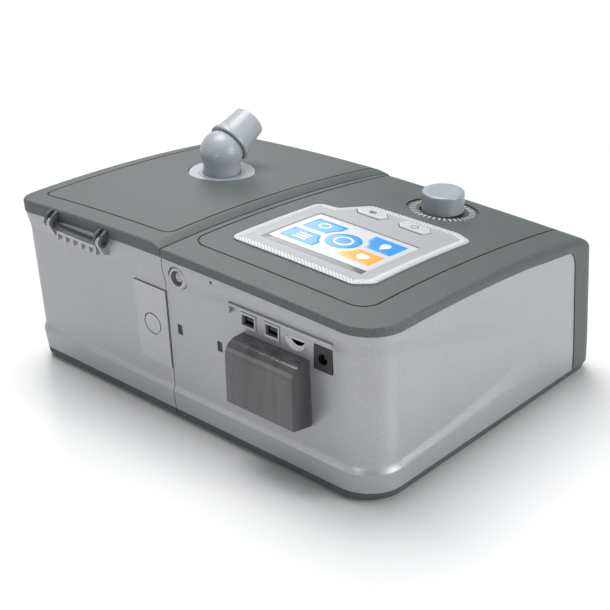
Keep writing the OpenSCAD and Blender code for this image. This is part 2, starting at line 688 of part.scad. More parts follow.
module filter_frame() place() color([0.3, 0.3, 0.32]) translate([filter_x, 0, 0]) difference() {
    slab(-frame_w / 2 + fit_gap, frame_w / 2 - fit_gap, -6, 0.4, frame_z0 + fit_gap, frame_z1 - fit_gap);
    slab(-frame_w / 2 + 1.8, frame_w / 2 - 1.8, -4.6, 2, frame_z0 + 1.8, frame_z1 - 1.8);
    for (i = [0:5]) translate([-frame_w / 2 + 5 + i * 8, 0, 0]) slab(0, 4, -7, 0, frame_z0 + 4, frame_z1 - 4);
}
module filter_foam() place() color([0.85, 0.86, 0.86])
    slab(filter_x - frame_w / 2 + 2, filter_x + frame_w / 2 - 2, -4.4, 0.6, frame_z0 + 2, frame_z1 - 2);
module muffler_box() place() color([0.4, 0.4, 0.42]) difference() {
    slab(filter_x - frame_w / 2 - 2, filter_x + frame_w / 2 + 2, -42, -6.2, frame_z0 - 3, frame_z1 - 1);
    slab(filter_x - frame_w / 2, filter_x + frame_w / 2, -40, 0, frame_z0 - 1, frame_z1 - 3);
    translate([filter_x, -30, frame_z0 + 14]) rotate([90, 0, 0]) cylinder(r = 9, h = 30, $fn = 48);
}

blower_x = main_x1 - volute_r - 24.05;
volute_z = coupler_z - volute_h / 2;
duct_r = 10.5;
duct_bore = 8.8;
blower_y = coupler_y - volute_r + duct_r;
motor_h = 20;
motor_shaft_r = 2;
module at_blower() { translate([blower_x, blower_y, 0]) children(); }
module duct(r, l) {
    translate([blower_x, coupler_y, coupler_z]) rotate([0, 90, 0]) cylinder(r = r, h = l, $fn = 48);
}
module blower_volute() place() color([0.75, 0.77, 0.78]) difference() {
    union() {
        at_blower() translate([0, 0, volute_z]) cylinder(r = volute_r, h = volute_h, $fn = 96);
        duct(duct_r, main_x1 - shell_t - 5 - blower_x);
    }
    at_blower() translate([0, 0, volute_z - 1]) cylinder(r = volute_r - 2.2, h = volute_h - 1.2, $fn = 96);
    at_blower() translate([0, 0, volute_z]) cylinder(r = 13, h = volute_h + 2, $fn = 48);
    duct(duct_bore, 80);
}
module blower_motor() place() color([0.3, 0.3, 0.33]) at_blower() difference() {
    union() {
        translate([0, 0, volute_z - 2.2]) cylinder(r = volute_r, h = 2, $fn = 96);
        translate([0, 0, volute_z - 2.2 - motor_h]) cylinder(r = motor_r, h = motor_h + 1, $fn = 64);
    }
    translate([0, 0, volute_z - motor_h]) cylinder(r = motor_shaft_r + 0.05, h = motor_h + 9, $fn = 32);
}
module impeller() place() color([0.9, 0.9, 0.9]) at_blower() union() {
    z0 = volute_z + 3;
    translate([0, 0, volute_z - motor_h + 1]) cylinder(r = motor_shaft_r, h = motor_h + 10, $fn = 32);
    translate([0, 0, z0]) cylinder(r = impeller_r, h = 1.6, $fn = 96);
    translate([0, 0, z0]) cylinder(r1 = 12, r2 = 5, h = 14, $fn = 64);
    for (i = [0:blades - 1]) rotate([0, 0, 360 * i / blades])
        translate([8, 0, z0 + 1]) rotate([0, 0, -24]) cube([impeller_r - 11, 1.2, 12]);
}
module blower_mount() place() color(rubber) at_blower() difference() {
    translate([0, 0, floor_z + fit_gap])
        cylinder(r = motor_r + 4, h = volute_z - motor_h + 4 - floor_z, $fn = 64);
    translate([0, 0, volute_z - 2.4 - motor_h]) cylinder(r = motor_r + 0.2, h = 30, $fn = 64);
    translate([0, 0, floor_z - 1]) cylinder(r = motor_r - 4, h = 60, $fn = 64);
}
module air_coupler() place() color(rubber) translate([main_x1 - shell_t - 14, coupler_y, coupler_z])
    rotate([0, 90, 0]) difference() {
        cylinder(r = coupler_r, h = shell_t * 2 + dock_gap + 16, $fn = round_fn);
        translate([0, 0, -1]) cylinder(r = duct_r + 0.1, h = 10.3, $fn = round_fn);
        translate([0, 0, -1]) cylinder(r = duct_bore, h = 60, $fn = round_fn);
    }
module main_feet() place() color(rubber) feet(main_foot_at);
module main_screws() place() color([0.7, 0.7, 0.72]) screws(main_posts);

// ---- Humidifier ----
lid_top = top_h + lid_step;
module under_lid_line(gap) { crowned(lid_top, lid_crown_r) under_arc(lid_top, lid_rim_h + gap); }
module humidifier_base() place() color(dark)
    tray(hum_x0, far + total_l, hum_x0 + wall, far + total_l, hum_posts, hum_foot_at);

release_x0 = hum_x0 + 0.3;
release_x1 = hum_x0 + release_w;
lug_t = 2.4;
lug_r = 3;
fin_t = 2;
fin_gap = 0.3;
knuckle_xs = [main_l + hinge_x - hinge_span / 2, main_l + hinge_x + hinge_span / 2];
module hinge_cylinder(x0, x1, r) {
    translate([x0, hinge_out, hinge_z]) rotate([0, 90, 0]) cylinder(r = r, h = x1 - x0, $fn = 48);
}
module humidifier_shell() place() color(silver) difference() {
    union() {
        difference() {
            intersection() { body(0, base_h + fit_gap, lid_top + 2); lid_panel(fit_gap); hum_half(); }
            intersection() { body(-shell_t, base_h, lid_top + 4); hum_half(hum_x0 + shell_t); }
            relief();
        }
        intersection() {
            posts(hum_posts, base_h + fit_gap);
            body(-1, base_h, post_top + 5);
            hum_half(hum_x0 + 1);
        }
        for (x = knuckle_xs) union() {
            hinge_cylinder(x - lug_t / 2, x + lug_t / 2, lug_r);
            translate([x - lug_t / 2, 0, 0]) rotate([90, 0, 90]) linear_extrude(lug_t)
                polygon([[4, 97], [hinge_out - 1, 99],
                    [hinge_out + lug_r - 0.1, hinge_z - 1], [hinge_out, hinge_z],
                    [hinge_out - lug_r + 0.3, hinge_z - 1.5], [4, hinge_z - 3.5]]);
        }
    }
    post_holes(hum_posts);
    slab(hum_x0 - 5, release_x1 + 0.35, -7, 30, release_z0 - 0.35, release_z1 + 0.35);
    hinge_cylinder(knuckle_xs[0] - 20, knuckle_xs[1] + 20, hinge_pin_dia / 2);
    translate([hum_x0 - 20, coupler_y, coupler_z]) rotate([0, 90, 0])
        cylinder(r = coupler_r + 0.5, h = 40, $fn = round_fn);
}
module humidifier_front() place() color(dark) difference() {
    intersection() {
        body(rim_out, base_h + fit_gap, lid_top);
        under_lid_line(fit_gap);
        lid_roof(0);
        hum_half();
    }
    intersection() { body(-wall, base_h - 1, lid_top + 4); hum_half(hum_x0 + wall); }
    lid_panel(0);
}

disc_x = main_l + outlet_x;
disc_r = disc_dia / 2;
disc_z = roof_z(disc_x, -outlet_y, lid_top, lid_crown_r) - 0.5;
disc_t = 3;
tube_r = elbow_dia / 2 + 2.2;
tube_z = disc_z - 9;
ramp_w = 6;
module at_disc() { translate([disc_x, -outlet_y, 0]) children(); }
// Solid under the sloping band that steps up from the main roof to the lid.
module seam_ramp() {
    angle = atan(lid_step / ramp_w);
    r = roof_r / cos(angle);
    translate([hum_x0, 0, top_h]) rotate([0, -angle, 0]) translate([-60, 0, 0]) rotate([90, 0, 90])
        linear_extrude(60 + 2 * total_l) intersection() {
            translate([-roof_peak, -r]) circle(r = r, $fn = 900);
            translate([-body_d - 40, -2 * far]) square([body_d + 80, 3 * far]);
        }
}
module lid_groove(grow) {
    x0 = main_l + 8.2;
    x1 = total_l - 7.5;
    offset(r = 6 + grow, $fn = 32) offset(delta = -6)
        polygon([[x0, -body_d - 60], [x1, -body_d - 60], [x1, -7.5], [x0, -7.5]]);
}
module humidifier_lid() place() color(dark) difference() {
    union() {
        difference() {
            intersection() { body(rim_out, 60, roof_top - 6); lid_roof(0); seam_ramp(); hum_half(); }
            intersection() { body(-wall, 50, roof_top - 4); lid_roof(wall + 0.6); hum_half(hum_x0 + wall); }
            under_lid_line(0);
        }
        intersection() {
            at_disc() translate([0, 0, disc_z - disc_t - 2])
                cylinder(r = disc_r + wall, h = 30, $fn = round_fn);
            lid_roof(wall / 2);
        }
        for (x = knuckle_xs) for (s = [-1, 1])
            translate([x + s * (lug_t / 2 + fin_gap + fin_t / 2) - fin_t / 2, 0, 0]) union() {
                translate([0, hinge_out, hinge_z]) rotate([0, 90, 0])
                    cylinder(r = lug_r, h = fin_t, $fn = 48);
                rotate([90, 0, 90]) linear_extrude(fin_t)
                    polygon([[6, hinge_z + 3.6], [hinge_out - 2.8, hinge_z + 0.8],
                    [hinge_out, hinge_z], [hinge_out + 2.95, hinge_z + 0.5], [hinge_out + 1.5, hinge_z + 5],
                    [hinge_out - 2.4, hinge_z + 7.4], [6, hinge_z + 7]]);
            }
    }
    at_disc() translate([0, 0, disc_z - disc_t]) cylinder(r = disc_r + fit_gap, h = 30, $fn = round_fn);
    at_disc() translate([0, 0, 60]) cylinder(r = tube_r + fit_gap, h = 80, $fn = round_fn);
    hinge_cylinder(knuckle_xs[0] - 20, knuckle_xs[1] + 20, hinge_pin_dia / 2 + 0.05);
    for (x = knuckle_xs) hinge_cylinder(x - lug_t / 2 - fin_gap, x + lug_t / 2 + fin_gap, lug_r + 0.5);
    difference() {
        column(60, roof_top + 20) difference() { lid_groove(groove / 2); lid_groove(-groove / 2); }
        lid_roof(groove);
    }
}

module hinge_pin() place() color([0.3, 0.3, 0.32])
    hinge_cylinder(knuckle_xs[0] - knuckle_w / 2 - 0.6, knuckle_xs[1] + knuckle_w / 2 + 0.6,
        hinge_pin_dia / 2);
comb_slots = 5;
module hinge_comb() place() color([0.78, 0.78, 0.80]) {
    x0 = knuckle_xs[0] + knuckle_w / 2 + 1;
    x1 = knuckle_xs[1] - knuckle_w / 2 - 1;
    pitch = (x1 - x0) / comb_slots;
    difference() {
        slab(x0, x1, 4, 10.5, 97.5, 103.5);
        for (i = [0:comb_slots - 1]) slab(x0 + pitch * (i + 0.25), x0 + pitch * (i + 0.85), 8, 12, 96, 101.6);
        body(0.1, 90, top_h);
    }
}
module release_button() place() color([0.72, 0.73, 0.76]) difference() {
    intersection() {
        slab(release_x0, release_x1, -20, 30, release_z0, release_z1);
        body(-relief_d + 0.3, release_z0 - 5, release_z1 + 5);
    }
    body(-relief_d - 2, release_z0 - 6, release_z1 + 6);
    translate([(release_x0 + release_x1) / 2, 1.6, (release_z0 + release_z1) / 2])
        rotate([-90, 0, 0]) difference() {
        cylinder(r = 7.2, h = 12, $fn = round_fn);
        cylinder(r = 6.4, h = 12, $fn = round_fn);
    }
}

tank_x0 = hum_x0 + shell_t + 3.4;
tank_y1 = -14;
tank_front_y = -body_d + 54;
tank_d = tank_y1 - tank_front_y;
plate_t = 3;
tank_z = floor_z + fit_gap + plate_t + fit_gap;
tank_top = tank_z + tank_h;
cap_t = 3;
neck_r = 17;
seal_h = 4;
module heater_plate() place() color([0.75, 0.76, 0.78])
    slab(tank_x0 + 16, tank_x0 + tank_l - 16, tank_y1 - tank_d + 30, tank_y1 - 30, floor_z + fit_gap,
        floor_z + fit_gap + plate_t);
module tank_block(inset, z0, z1) {
    slab(tank_x0 + inset, tank_x0 + tank_l - inset, tank_y1 - tank_d + inset, tank_y1 - inset, z0, z1);
}
module water_tank() place() color([0.75, 0.82, 0.86, 0.5]) difference() {
    tank_block(0, tank_z, tank_top);
    tank_block(tank_wall, tank_z + tank_wall, tank_top + 1);
    translate([tank_x0 - 10, coupler_y, coupler_z]) rotate([0, 90, 0])
        cylinder(r = duct_bore, h = 20, $fn = 48);
}
module tank_cover() place() color([0.82, 0.86, 0.88, 0.6]) difference() {
    union() {
        tank_block(-1, tank_top + fit_gap, tank_top + fit_gap + cap_t);
        tank_block(tank_wall + 0.3, tank_top - 4, tank_top + fit_gap + 1);
        at_disc() translate([0, 0, tank_top + 1])
            cylinder(r = neck_r, h = tube_z - seal_h - 1.3 - tank_top, $fn = round_fn);
    }
    tank_block(tank_wall + 2, tank_top - 6, tank_top + fit_gap + 0.8);
    at_disc() translate([0, 0, tank_top - 10]) cylinder(r = neck_r - 4, h = 60, $fn = round_fn);
}
module lid_seal() place() color(rubber) at_disc() difference() {
    translate([0, 0, tube_z - seal_h]) cylinder(r = neck_r, h = seal_h, $fn = round_fn);
    translate([0, 0, tube_z - seal_h - 1]) cylinder(r = bore_r + 1, h = seal_h + 2, $fn = round_fn);
}
module outlet_disc() place() color([0.86, 0.87, 0.88]) at_disc() difference() {
    rotate_extrude($fn = 96) polygon([[0, tube_z], [tube_r, tube_z], [tube_r, disc_z - disc_t],
        [disc_r, disc_z - disc_t], [disc_r, disc_z - 0.6], [disc_r - 0.6, disc_z], [0, disc_z]]);
    translate([0, 0, disc_z - 20]) cylinder(r = elbow_dia / 2 + 0.06, h = 40, $fn = 96);
}

// ---- Elbow ----
ball_r = ball_dia / 2;
ball_z = disc_z + ball_h;
stub_r = 10.6;
stub_l = 15;
bore_r = bore_dia / 2;
cone_l = stub_l + 2.5;
collar_s = 7.8;
module at_ball() { translate([disc_x, -outlet_y, ball_z]) rotate([connector_lean, 0, 0]) children(); }
module elbow() place() color([0.70, 0.72, 0.77]) difference() {
    union() {
        at_disc() translate([0, 0, tube_z + 0.3])
            cylinder(r = elbow_dia / 2, h = ball_z - tube_z - 0.3, $fn = 96);
        translate([disc_x, -outlet_y, ball_z]) sphere(r = ball_r, $fn = 96);
        at_ball() cylinder(r = stub_r, h = stub_l, $fn = 96);
    }
    at_disc() translate([0, 0, tube_z - 1]) cylinder(r = bore_r, h = ball_z - tube_z + 1, $fn = 64);
    translate([disc_x, -outlet_y, ball_z]) sphere(r = bore_r + 0.4, $fn = 64);
    at_ball() cylinder(r = bore_r, h = stub_l + 5, $fn = 64);
}
module hose_connector() place() color([0.72, 0.74, 0.79]) at_ball() difference() {
    rotate_extrude($fn = 96)
        polygon([[0, collar_s], [ball_r + 0.2, collar_s], [ball_r + 0.4, collar_s + 0.6],
        [ball_r + 0.4, stub_l - 1],
        [ball_r - 0.6, stub_l], [connector_dia / 2 + 0.9, stub_l], [connector_dia / 2, cone_l],
        [connector_dia / 2, cone_l + connector_l], [0, cone_l + connector_l]]);
    sphere(r = ball_r + 0.3, $fn = 96);
    cylinder(r = stub_r + 0.05, h = stub_l + 0.3, $fn = 96);
    cylinder(r = bore_r + 0.3, h = 60, $fn = 64);
}
module humidifier_feet() place() color(rubber) feet(hum_foot_at);
module humidifier_screws() place() color([0.7, 0.7, 0.72]) screws(hum_posts);

main_base();
main_shell();
main_cover();
control_bezel();
screen_glass();
display_module();
key_left();
key_right();
key_switches();
knob();
tick_ring();
encoder_body();
encoder_plunger();
encoder_shaft();
main_board();
data_ports();
card_reader();
memory_card();
power_inlet();
accessory_socket();
filter_cover();
filter_frame();
filter_foam();
muffler_box();
blower_volute();
blower_motor();
impeller();
blower_mount();
air_coupler();
main_feet();
main_screws();
humidifier_base();
humidifier_shell();
humidifier_front();
humidifier_lid();
lid_seal();
hinge_pin();
hinge_comb();
release_button();
heater_plate();
water_tank();
tank_cover();
outlet_disc();
elbow();
hose_connector();
humidifier_feet();
humidifier_screws();
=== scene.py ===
"""Bedside breathing-air machine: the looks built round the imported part.

Lengths inside the shape functions are millimetres in the machine's own coordinates: x from the
main unit's end wall, y from the back of the base towards the ports, z up from the table. The two
docked units share their surfaces: lid is True for the humidifier's and False for the main unit's.
"""
import math
from functools import cached_property

import bpy
import bmesh
import numpy as np
from mathutils import Matrix, Vector


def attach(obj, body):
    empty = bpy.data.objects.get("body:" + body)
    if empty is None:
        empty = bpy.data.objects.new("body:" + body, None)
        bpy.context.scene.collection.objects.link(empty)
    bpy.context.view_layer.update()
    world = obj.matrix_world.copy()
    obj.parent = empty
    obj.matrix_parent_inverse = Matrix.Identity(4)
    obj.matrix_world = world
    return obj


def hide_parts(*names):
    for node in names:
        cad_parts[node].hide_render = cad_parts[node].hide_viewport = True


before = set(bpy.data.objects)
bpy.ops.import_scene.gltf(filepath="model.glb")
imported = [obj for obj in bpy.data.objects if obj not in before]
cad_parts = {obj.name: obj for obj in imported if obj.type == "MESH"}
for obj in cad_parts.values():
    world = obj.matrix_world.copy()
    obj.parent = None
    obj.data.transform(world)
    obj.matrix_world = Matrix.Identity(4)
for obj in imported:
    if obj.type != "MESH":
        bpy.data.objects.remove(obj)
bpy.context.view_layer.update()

# ---- Sizes of the body: its walls, its roof and the rims of its covers ----
ORIGIN = np.array([-142.25, 103.0, 0.0])
TOTAL_L, BODY_D, TOP, LID_STEP = 284.5, 226.0, 116.7, 2.3
ROOF_R, ROOF_PEAK, CROWN_X = 1190.0, 18.0, 140.3
ROLL, FASCIA, PANEL_R = 25.0, 24.0, 13.0
BASE_H, WALL, RELIEF, GAP, RIM_OUT = 7.4, 2.4, 1.8, 0.2, 0.6
LEAN = 17.5 / (TOP - BASE_H)
LEAN_ANGLE = math.atan(LEAN)
WALL_Z = np.array([0.0, 1.2, 3.33, 7.4, 21.0, 116.7, 260.0])
BACK_OUT = np.array([-3.4, -2.4, -0.48, 0.0, 1.7, 6.9, 6.9])
END_OUT = np.array([-3.4, -2.4, -0.48, 0.0, 0.85, 2.65, 2.65])
GROOVE_R = 0.6

# ---- Pairs: the main unit's value, then the humidifier's ----
SEAM, END, OUTWARDS, BACK_R = (155.05, 155.55), (0.0, TOTAL_L), (-1.0, 1.0), (24.0, 12.0)
CROWN, RIM = (4000.0, 1630.0), (5.6, 7.6)
EDGE = ((1.3, 6.5, 2.0, 0.9, 1.15, 1.3), (1.6, 5.6, 1.6, 0.8, 1.0, 1.0))
GROOVE = ((19.0, 150.3, -12.0, 12.0), (277.0, 163.5, -7.5, 6.0))

# ---- Places: x and y on the roof, x and z on the back, y and z on the sides ----
SCREEN, SCREEN_HALF = (85.2, -69.9), (38.0, 27.0)
KEY_XS, KEY_Y = (68.95, 101.45), -120.0
KNOB, KNOB_R, TICKS, RING_DEPTH = (82.0, -166.0), 13.5, 36, 1.0
DISC = (220.7, -110.4)
PORT_XS, PORT_Z = (71.6, 89.3), 90.5
JACK, SOCKET, PIN_HOLE, CARD = (34.6, 86.3), (143.3, 100.9), (115.5, 107.2), (54.7, 92.0)
HATCHES = ((113.6, 65.7), (146.2, 65.5))
FILTER_X = (44.4, 94.2)
DUCT = (-82.0, 62.0)
HINGE, HINGE_XS = (10.6, 107.6), (203.8, 248.8)
BALL, BALL_R, HOSE_RISE = np.array([*DISC, 126.924]), 14.0, math.radians(28.0)
HOSE_AXIS = np.array([0.0, -math.cos(HOSE_RISE), math.sin(HOSE_RISE)])
BACKWARDS = (0, 1, 0)
SIDEWAYS = (1, 0, 0)


# ---- Mesh making ----
def in_metres(obj):
    """Moves the mesh from the machine's millimetres to the row's metres: (p + ORIGIN) / 1000."""
    p = np.empty(len(obj.data.vertices) * 3)
    obj.data.vertices.foreach_get("co", p)
    obj.data.vertices.foreach_set("co", ((p.reshape(-1, 3) + ORIGIN) / 1000).ravel())
    obj.data.update()
    return obj


class Shell:
    """Grids and rings of points, gathered in millimetres and made into one object."""

    def __init__(self):
        self.points, self.faces, self.marks, self.count = [], [], [], 0

    def grid(self, p, around=False, along=False, mark=0):
        """Quads between neighbours in p[row, column]; around closes the columns, and along the rows."""
        rows, cols = p.shape[:2]
        ids = np.arange(rows * cols).reshape(rows, cols) + self.count
        if around:
            ids = np.concatenate([ids, ids[:, :1]], 1)
        if along:
            ids = np.concatenate([ids, ids[:1]], 0)
        quads = np.stack([ids[:-1, :-1], ids[:-1, 1:], ids[1:, 1:], ids[1:, :-1]], -1).reshape(-1, 4)
        self.faces += quads.tolist()
        self.marks += [mark] * len(quads)
        self.points.append(p.reshape(-1, 3))
        self.count += rows * cols
        return self

    def cap(self, loop, mark=0):
        """One flat face on a loop of points."""
        self.faces.append(list(range(self.count, self.count + len(loop))))
        self.marks.append(mark)
        self.points.append(loop)
        self.count += len(loop)
        return self

    def tube(self, rings, mark=0):
        """Rings of points joined in order, with a face over each end."""
        p = np.asarray(rings)
        return self.grid(p, around=True, mark=mark).cap(p[0], mark).cap(p[-1], mark)

    def band(self, outer, inner, low, high, mark):
        """A flat ring on the roof between two loops: the grid of its four edges, closed both ways."""
        edges = [on_roof(outer, low), on_roof(outer, high), on_roof(inner, high), on_roof(inner, low)]
        return self.grid(np.array(edges), around=True, along=True, mark=mark)

    def skins(self, outer, inner):
        """Two open skins of the same rows and columns, joined along their four edges."""
        self.grid(outer).grid(inner)
        for pair in ((outer[0], inner[0]), (inner[-1], outer[-1]),
                     (inner[:, 0], outer[:, 0]), (outer[:, -1], inner[:, -1])):
            self.grid(np.stack(pair))
        return self

    def make(self, name, weld=1e-3):
        """A mesh object, in millimetres, whose doubles are merged and whose faces point outwards."""
        mesh = bpy.data.meshes.new(name)
        mesh.from_pydata(np.concatenate(self.points).tolist(), [], self.faces)
        mesh.polygons.foreach_set("material_index", self.marks)
        bm = bmesh.new()
        bm.from_mesh(mesh)
        bmesh.ops.remove_doubles(bm, verts=bm.verts, dist=weld)
        bmesh.ops.recalc_face_normals(bm, faces=bm.faces)
        bm.to_mesh(mesh)
        bm.free()
        obj = bpy.data.objects.new(name, mesh)
        bpy.context.scene.collection.objects.link(obj)
        return obj


def cut(obj, cutters, operation="DIFFERENCE"):
    """Takes each cutter away from the object, or joins it on, and deletes the cutter."""
    for cutter in cutters:
        tool = obj.modifiers.new("cut", "BOOLEAN")
        tool.operation, tool.solver, tool.object = operation, "MANIFOLD", cutter
        bpy.context.view_layer.update()
        result = obj.evaluated_get(bpy.context.evaluated_depsgraph_get())
        mesh = bpy.data.meshes.new_from_object(result)
        obj.modifiers.clear()
        obj.data = mesh
        bpy.data.objects.remove(cutter)
    return obj


def soften(obj, angle):
    """Smooth shading, with an edge kept sharp where its two faces turn by more than the angle."""
    bm = bmesh.new()
    bm.from_mesh(obj.data)
    limit = math.radians(angle)
    for edge in bm.edges:
        edge.smooth = len(edge.link_faces) == 2 and edge.calc_face_angle(0.0) < limit
    for face in bm.faces:
        face.smooth = True
    bm.to_mesh(obj.data)
    bm.free()


def finish_piece(obj, body, slot, replaces=(), looks=None, angle=32.0):
    """Shades the piece, gives it its slot's material, or looks, ties it to its body and hides the parts it
    replaces.
    """
    soften(in_metres(obj), angle)
    marks = np.empty(len(obj.data.polygons), dtype=np.int32)
    obj.data.polygons.foreach_get("material_index", marks)
    obj.data.materials.clear()
    for name in looks or (slot,):
        obj.data.materials.append(MAT[name])
    obj.data.polygons.foreach_set("material_index", marks)
    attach(obj, body)
    if replaces:
        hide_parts(*replaces)
    return obj


# ---- Outlines ----
def arc(cx, cy, r, a0, a1, n):
    """Points on a circle's arc, from angle a0 to a1 in degrees."""
    a = np.radians(np.linspace(a0, a1, n))
    return np.column_stack([cx + r * np.cos(a), cy + r * np.sin(a)])


def circle(centre, r, n):
    """A full circle of n points."""
    return arc(*centre, r, 0, 360, n + 1)[:-1]


def rounded(corners, radius, n=8, closed=True):
    """A polygon or path with an arc at each corner: it starts r / tan(half the corner's angle) away."""
    c = np.asarray(corners, float)
    r = np.broadcast_to(radius, len(c))
    t = np.linspace(0, 1, n)[:, None]
    out = [] if closed else [c[:1]]
    for i in range(len(c)) if closed else range(1, len(c) - 1):
        a, b, d = c[i - 1], c[i], c[(i + 1) % len(c)]
        u, v = (a - b) / np.linalg.norm(a - b), (d - b) / np.linalg.norm(d - b)
        half = math.acos(np.clip(u @ v, -1, 1)) / 2
        reach, w = r[i] / math.tan(half), math.sin(half)
        first, middle, last = (1 - t) ** 2, 2 * t * (1 - t) * w, t ** 2
        top = first * (b + u * reach) + middle * b + last * (b + v * reach)
        out.append(top / (first + middle + last))
    return np.concatenate(out if closed else out + [c[-1:]])


def box_loop(x0, x1, y0, y1, r=0.0):
    """A rectangle, its corners rounded where r is more than nothing."""
    corners = [[x0, y0], [x1, y0], [x1, y1], [x0, y1]]
    return rounded(corners, r, 6) if r else np.array(corners, float)


def box_about(centre, half_x, half_y, r=0.0):
    """A rectangle about its middle."""
    x, y = centre
    return box_loop(x - half_x, x + half_x, y - half_y, y + half_y, r)


def dense(loop, step, closed=True):
    """The loop or path with extra points, so that no side is longer than step."""
    ends = np.roll(loop, -1, 0) if closed else loop[1:]
    parts = []
    for a, b in zip(loop, ends):
        n = max(1, int(math.ceil(np.linalg.norm(b - a) / step)))
        parts.append(a + (b - a) * (np.arange(n) / n)[:, None])
    return np.concatenate(parts if closed else parts + [loop[-1:]])


def walked(path, places):
    """Points on a path: places turns its length into the distances along it at which they lie."""
    run = np.concatenate([[0], np.cumsum(np.linalg.norm(np.diff(path, axis=0), axis=1))])
    return np.column_stack([np.interp(places(run[-1]), run, values) for values in path.T])


def normals(loop, reach=1):
    """Directions square to a loop: the line between a point's neighbours, turned a quarter to the left."""
    d = np.roll(loop, -reach, 0) - np.roll(loop, reach, 0)
    return np.column_stack([-d[:, 1], d[:, 0]]) / np.linalg.norm(d, axis=1)[:, None]


# ---- Bars and turned solids ----
def level(loop, height, axis="z"):
    """A flat loop's points at one height along an axis; its two coordinates are the other axes, in order."""
    return np.insert(np.asarray(loop, float), "xyz".index(axis), height, axis=1)


def bar(loop, start, end, axis="z", name="cutter", mark=0):
    """An outline carried straight along an axis."""
    return Shell().tube([level(loop, k, axis) for k in (start, end)], mark).make(name)


def turned(profile, origin, direction=(0, 0, 1), steps=96, name="cutter", mark=0):
    """A profile of radius and height turned about an axis: origin + r cos(a) u + r sin(a) v + h w.

    The profile starts and ends on the axis, or ends where it starts."""
    w = np.asarray(direction, float) / np.linalg.norm(direction)
    u = np.cross([0.0, 0.0, 1.0] if abs(w[2]) < 0.9 else [1.0, 0.0, 0.0], w)
    u /= np.linalg.norm(u)
    r, h = np.asarray(profile, float).T
    a = np.linspace(0, 2 * np.pi, steps, endpoint=False)
    ring = np.cos(a)[:, None] * u + np.sin(a)[:, None] * np.cross(w, u)
    p = np.asarray(origin, float) + r[:, None, None] * ring[None] + h[:, None, None] * w
    return Shell().grid(p, around=True, mark=mark).make(name)


def drill(r, start, end, origin, direction=(0, 0, 1), steps=96):
    """A round bar about an axis, from start to end along it."""
    return turned([[0, start], [r, start], [r, end], [0, end]], origin, direction, steps)


# ---- The body's surfaces ----
def front_line(z):
    """y of the front wall: it leans back evenly above the base band and tucks in below it."""
    return -BODY_D + (z - BASE_H) * LEAN + np.where(z < BASE_H, 0.8 * (BASE_H - z), 0.0)


def crown_drop(x, lid):
    """How far the crown has fallen at x: the distance from its line, squared, over twice its radius."""
    return (x - CROWN_X) ** 2 / (2 * CROWN[lid])


def long_arc(x, y, lid, inset=0.0):
    """Height of the roof's long arc, with its radius less the inset, under the crown."""
    across = np.sqrt((ROOF_R - inset) ** 2 - (y + ROOF_PEAK) ** 2)
    return TOP + LID_STEP * lid - ROOF_R + across - crown_drop(x, lid)


def corner_centre(lid, r, inset, foot):
    """Centre of an arc inside the long arc and a leaning wall foot behind the front, found by steps."""
    y = -180.0
    for _ in range(8):
        z = TOP + LID_STEP * lid - ROOF_R + math.sqrt((ROOF_R - inset - r) ** 2 - (y + ROOF_PEAK) ** 2)
        y = -BODY_D + (z - BASE_H) * LEAN + foot + r / math.cos(LEAN_ANGLE)
    return y, z


def over_front(x, y, lid, r, inset, foot, gap=0.0):
    """Height of the long arc, the circle of radius r at its front, and the leaning wall below that."""
    yc, zc = corner_centre(lid, r, inset, foot)
    reach, rise = (r - gap) * math.cos(LEAN_ANGLE), (r - gap) * math.sin(LEAN_ANGLE)
    round_part = zc + np.sqrt(np.maximum((r - gap) ** 2 - (y - yc) ** 2, rise ** 2))
    wall = zc + rise + (y - (yc - reach)) / LEAN
    join = -ROOF_PEAK + (yc + ROOF_PEAK) * (ROOF_R - inset) / (ROOF_R - inset - r)
    z = np.where(y > yc - reach, round_part, wall) - crown_drop(x, lid)
    return np.where(y > join, long_arc(x, y, lid, inset + gap), z)


def roll_foot(lid):
    """y where the front roll meets the front wall."""
    return corner_centre(lid, ROLL, 0.0, -RIM_OUT)[0] - ROLL * math.cos(LEAN_ANGLE)


def skin(x, y, lid):
    """Height of the finished roof: the long arc, the front roll and wall, and the lid's ramp at the seam."""
    z = over_front(x, y, lid, ROLL, 0.0, -RIM_OUT)
    if lid:
        ramp = np.clip(1 - (x - SEAM[lid]) / 6.5, 0, 1) ** 1.3
        z = z - LID_STEP * ramp * np.clip((y - roll_foot(lid)) / (ROLL * math.cos(LEAN_ANGLE)), 0, 1)
    return z


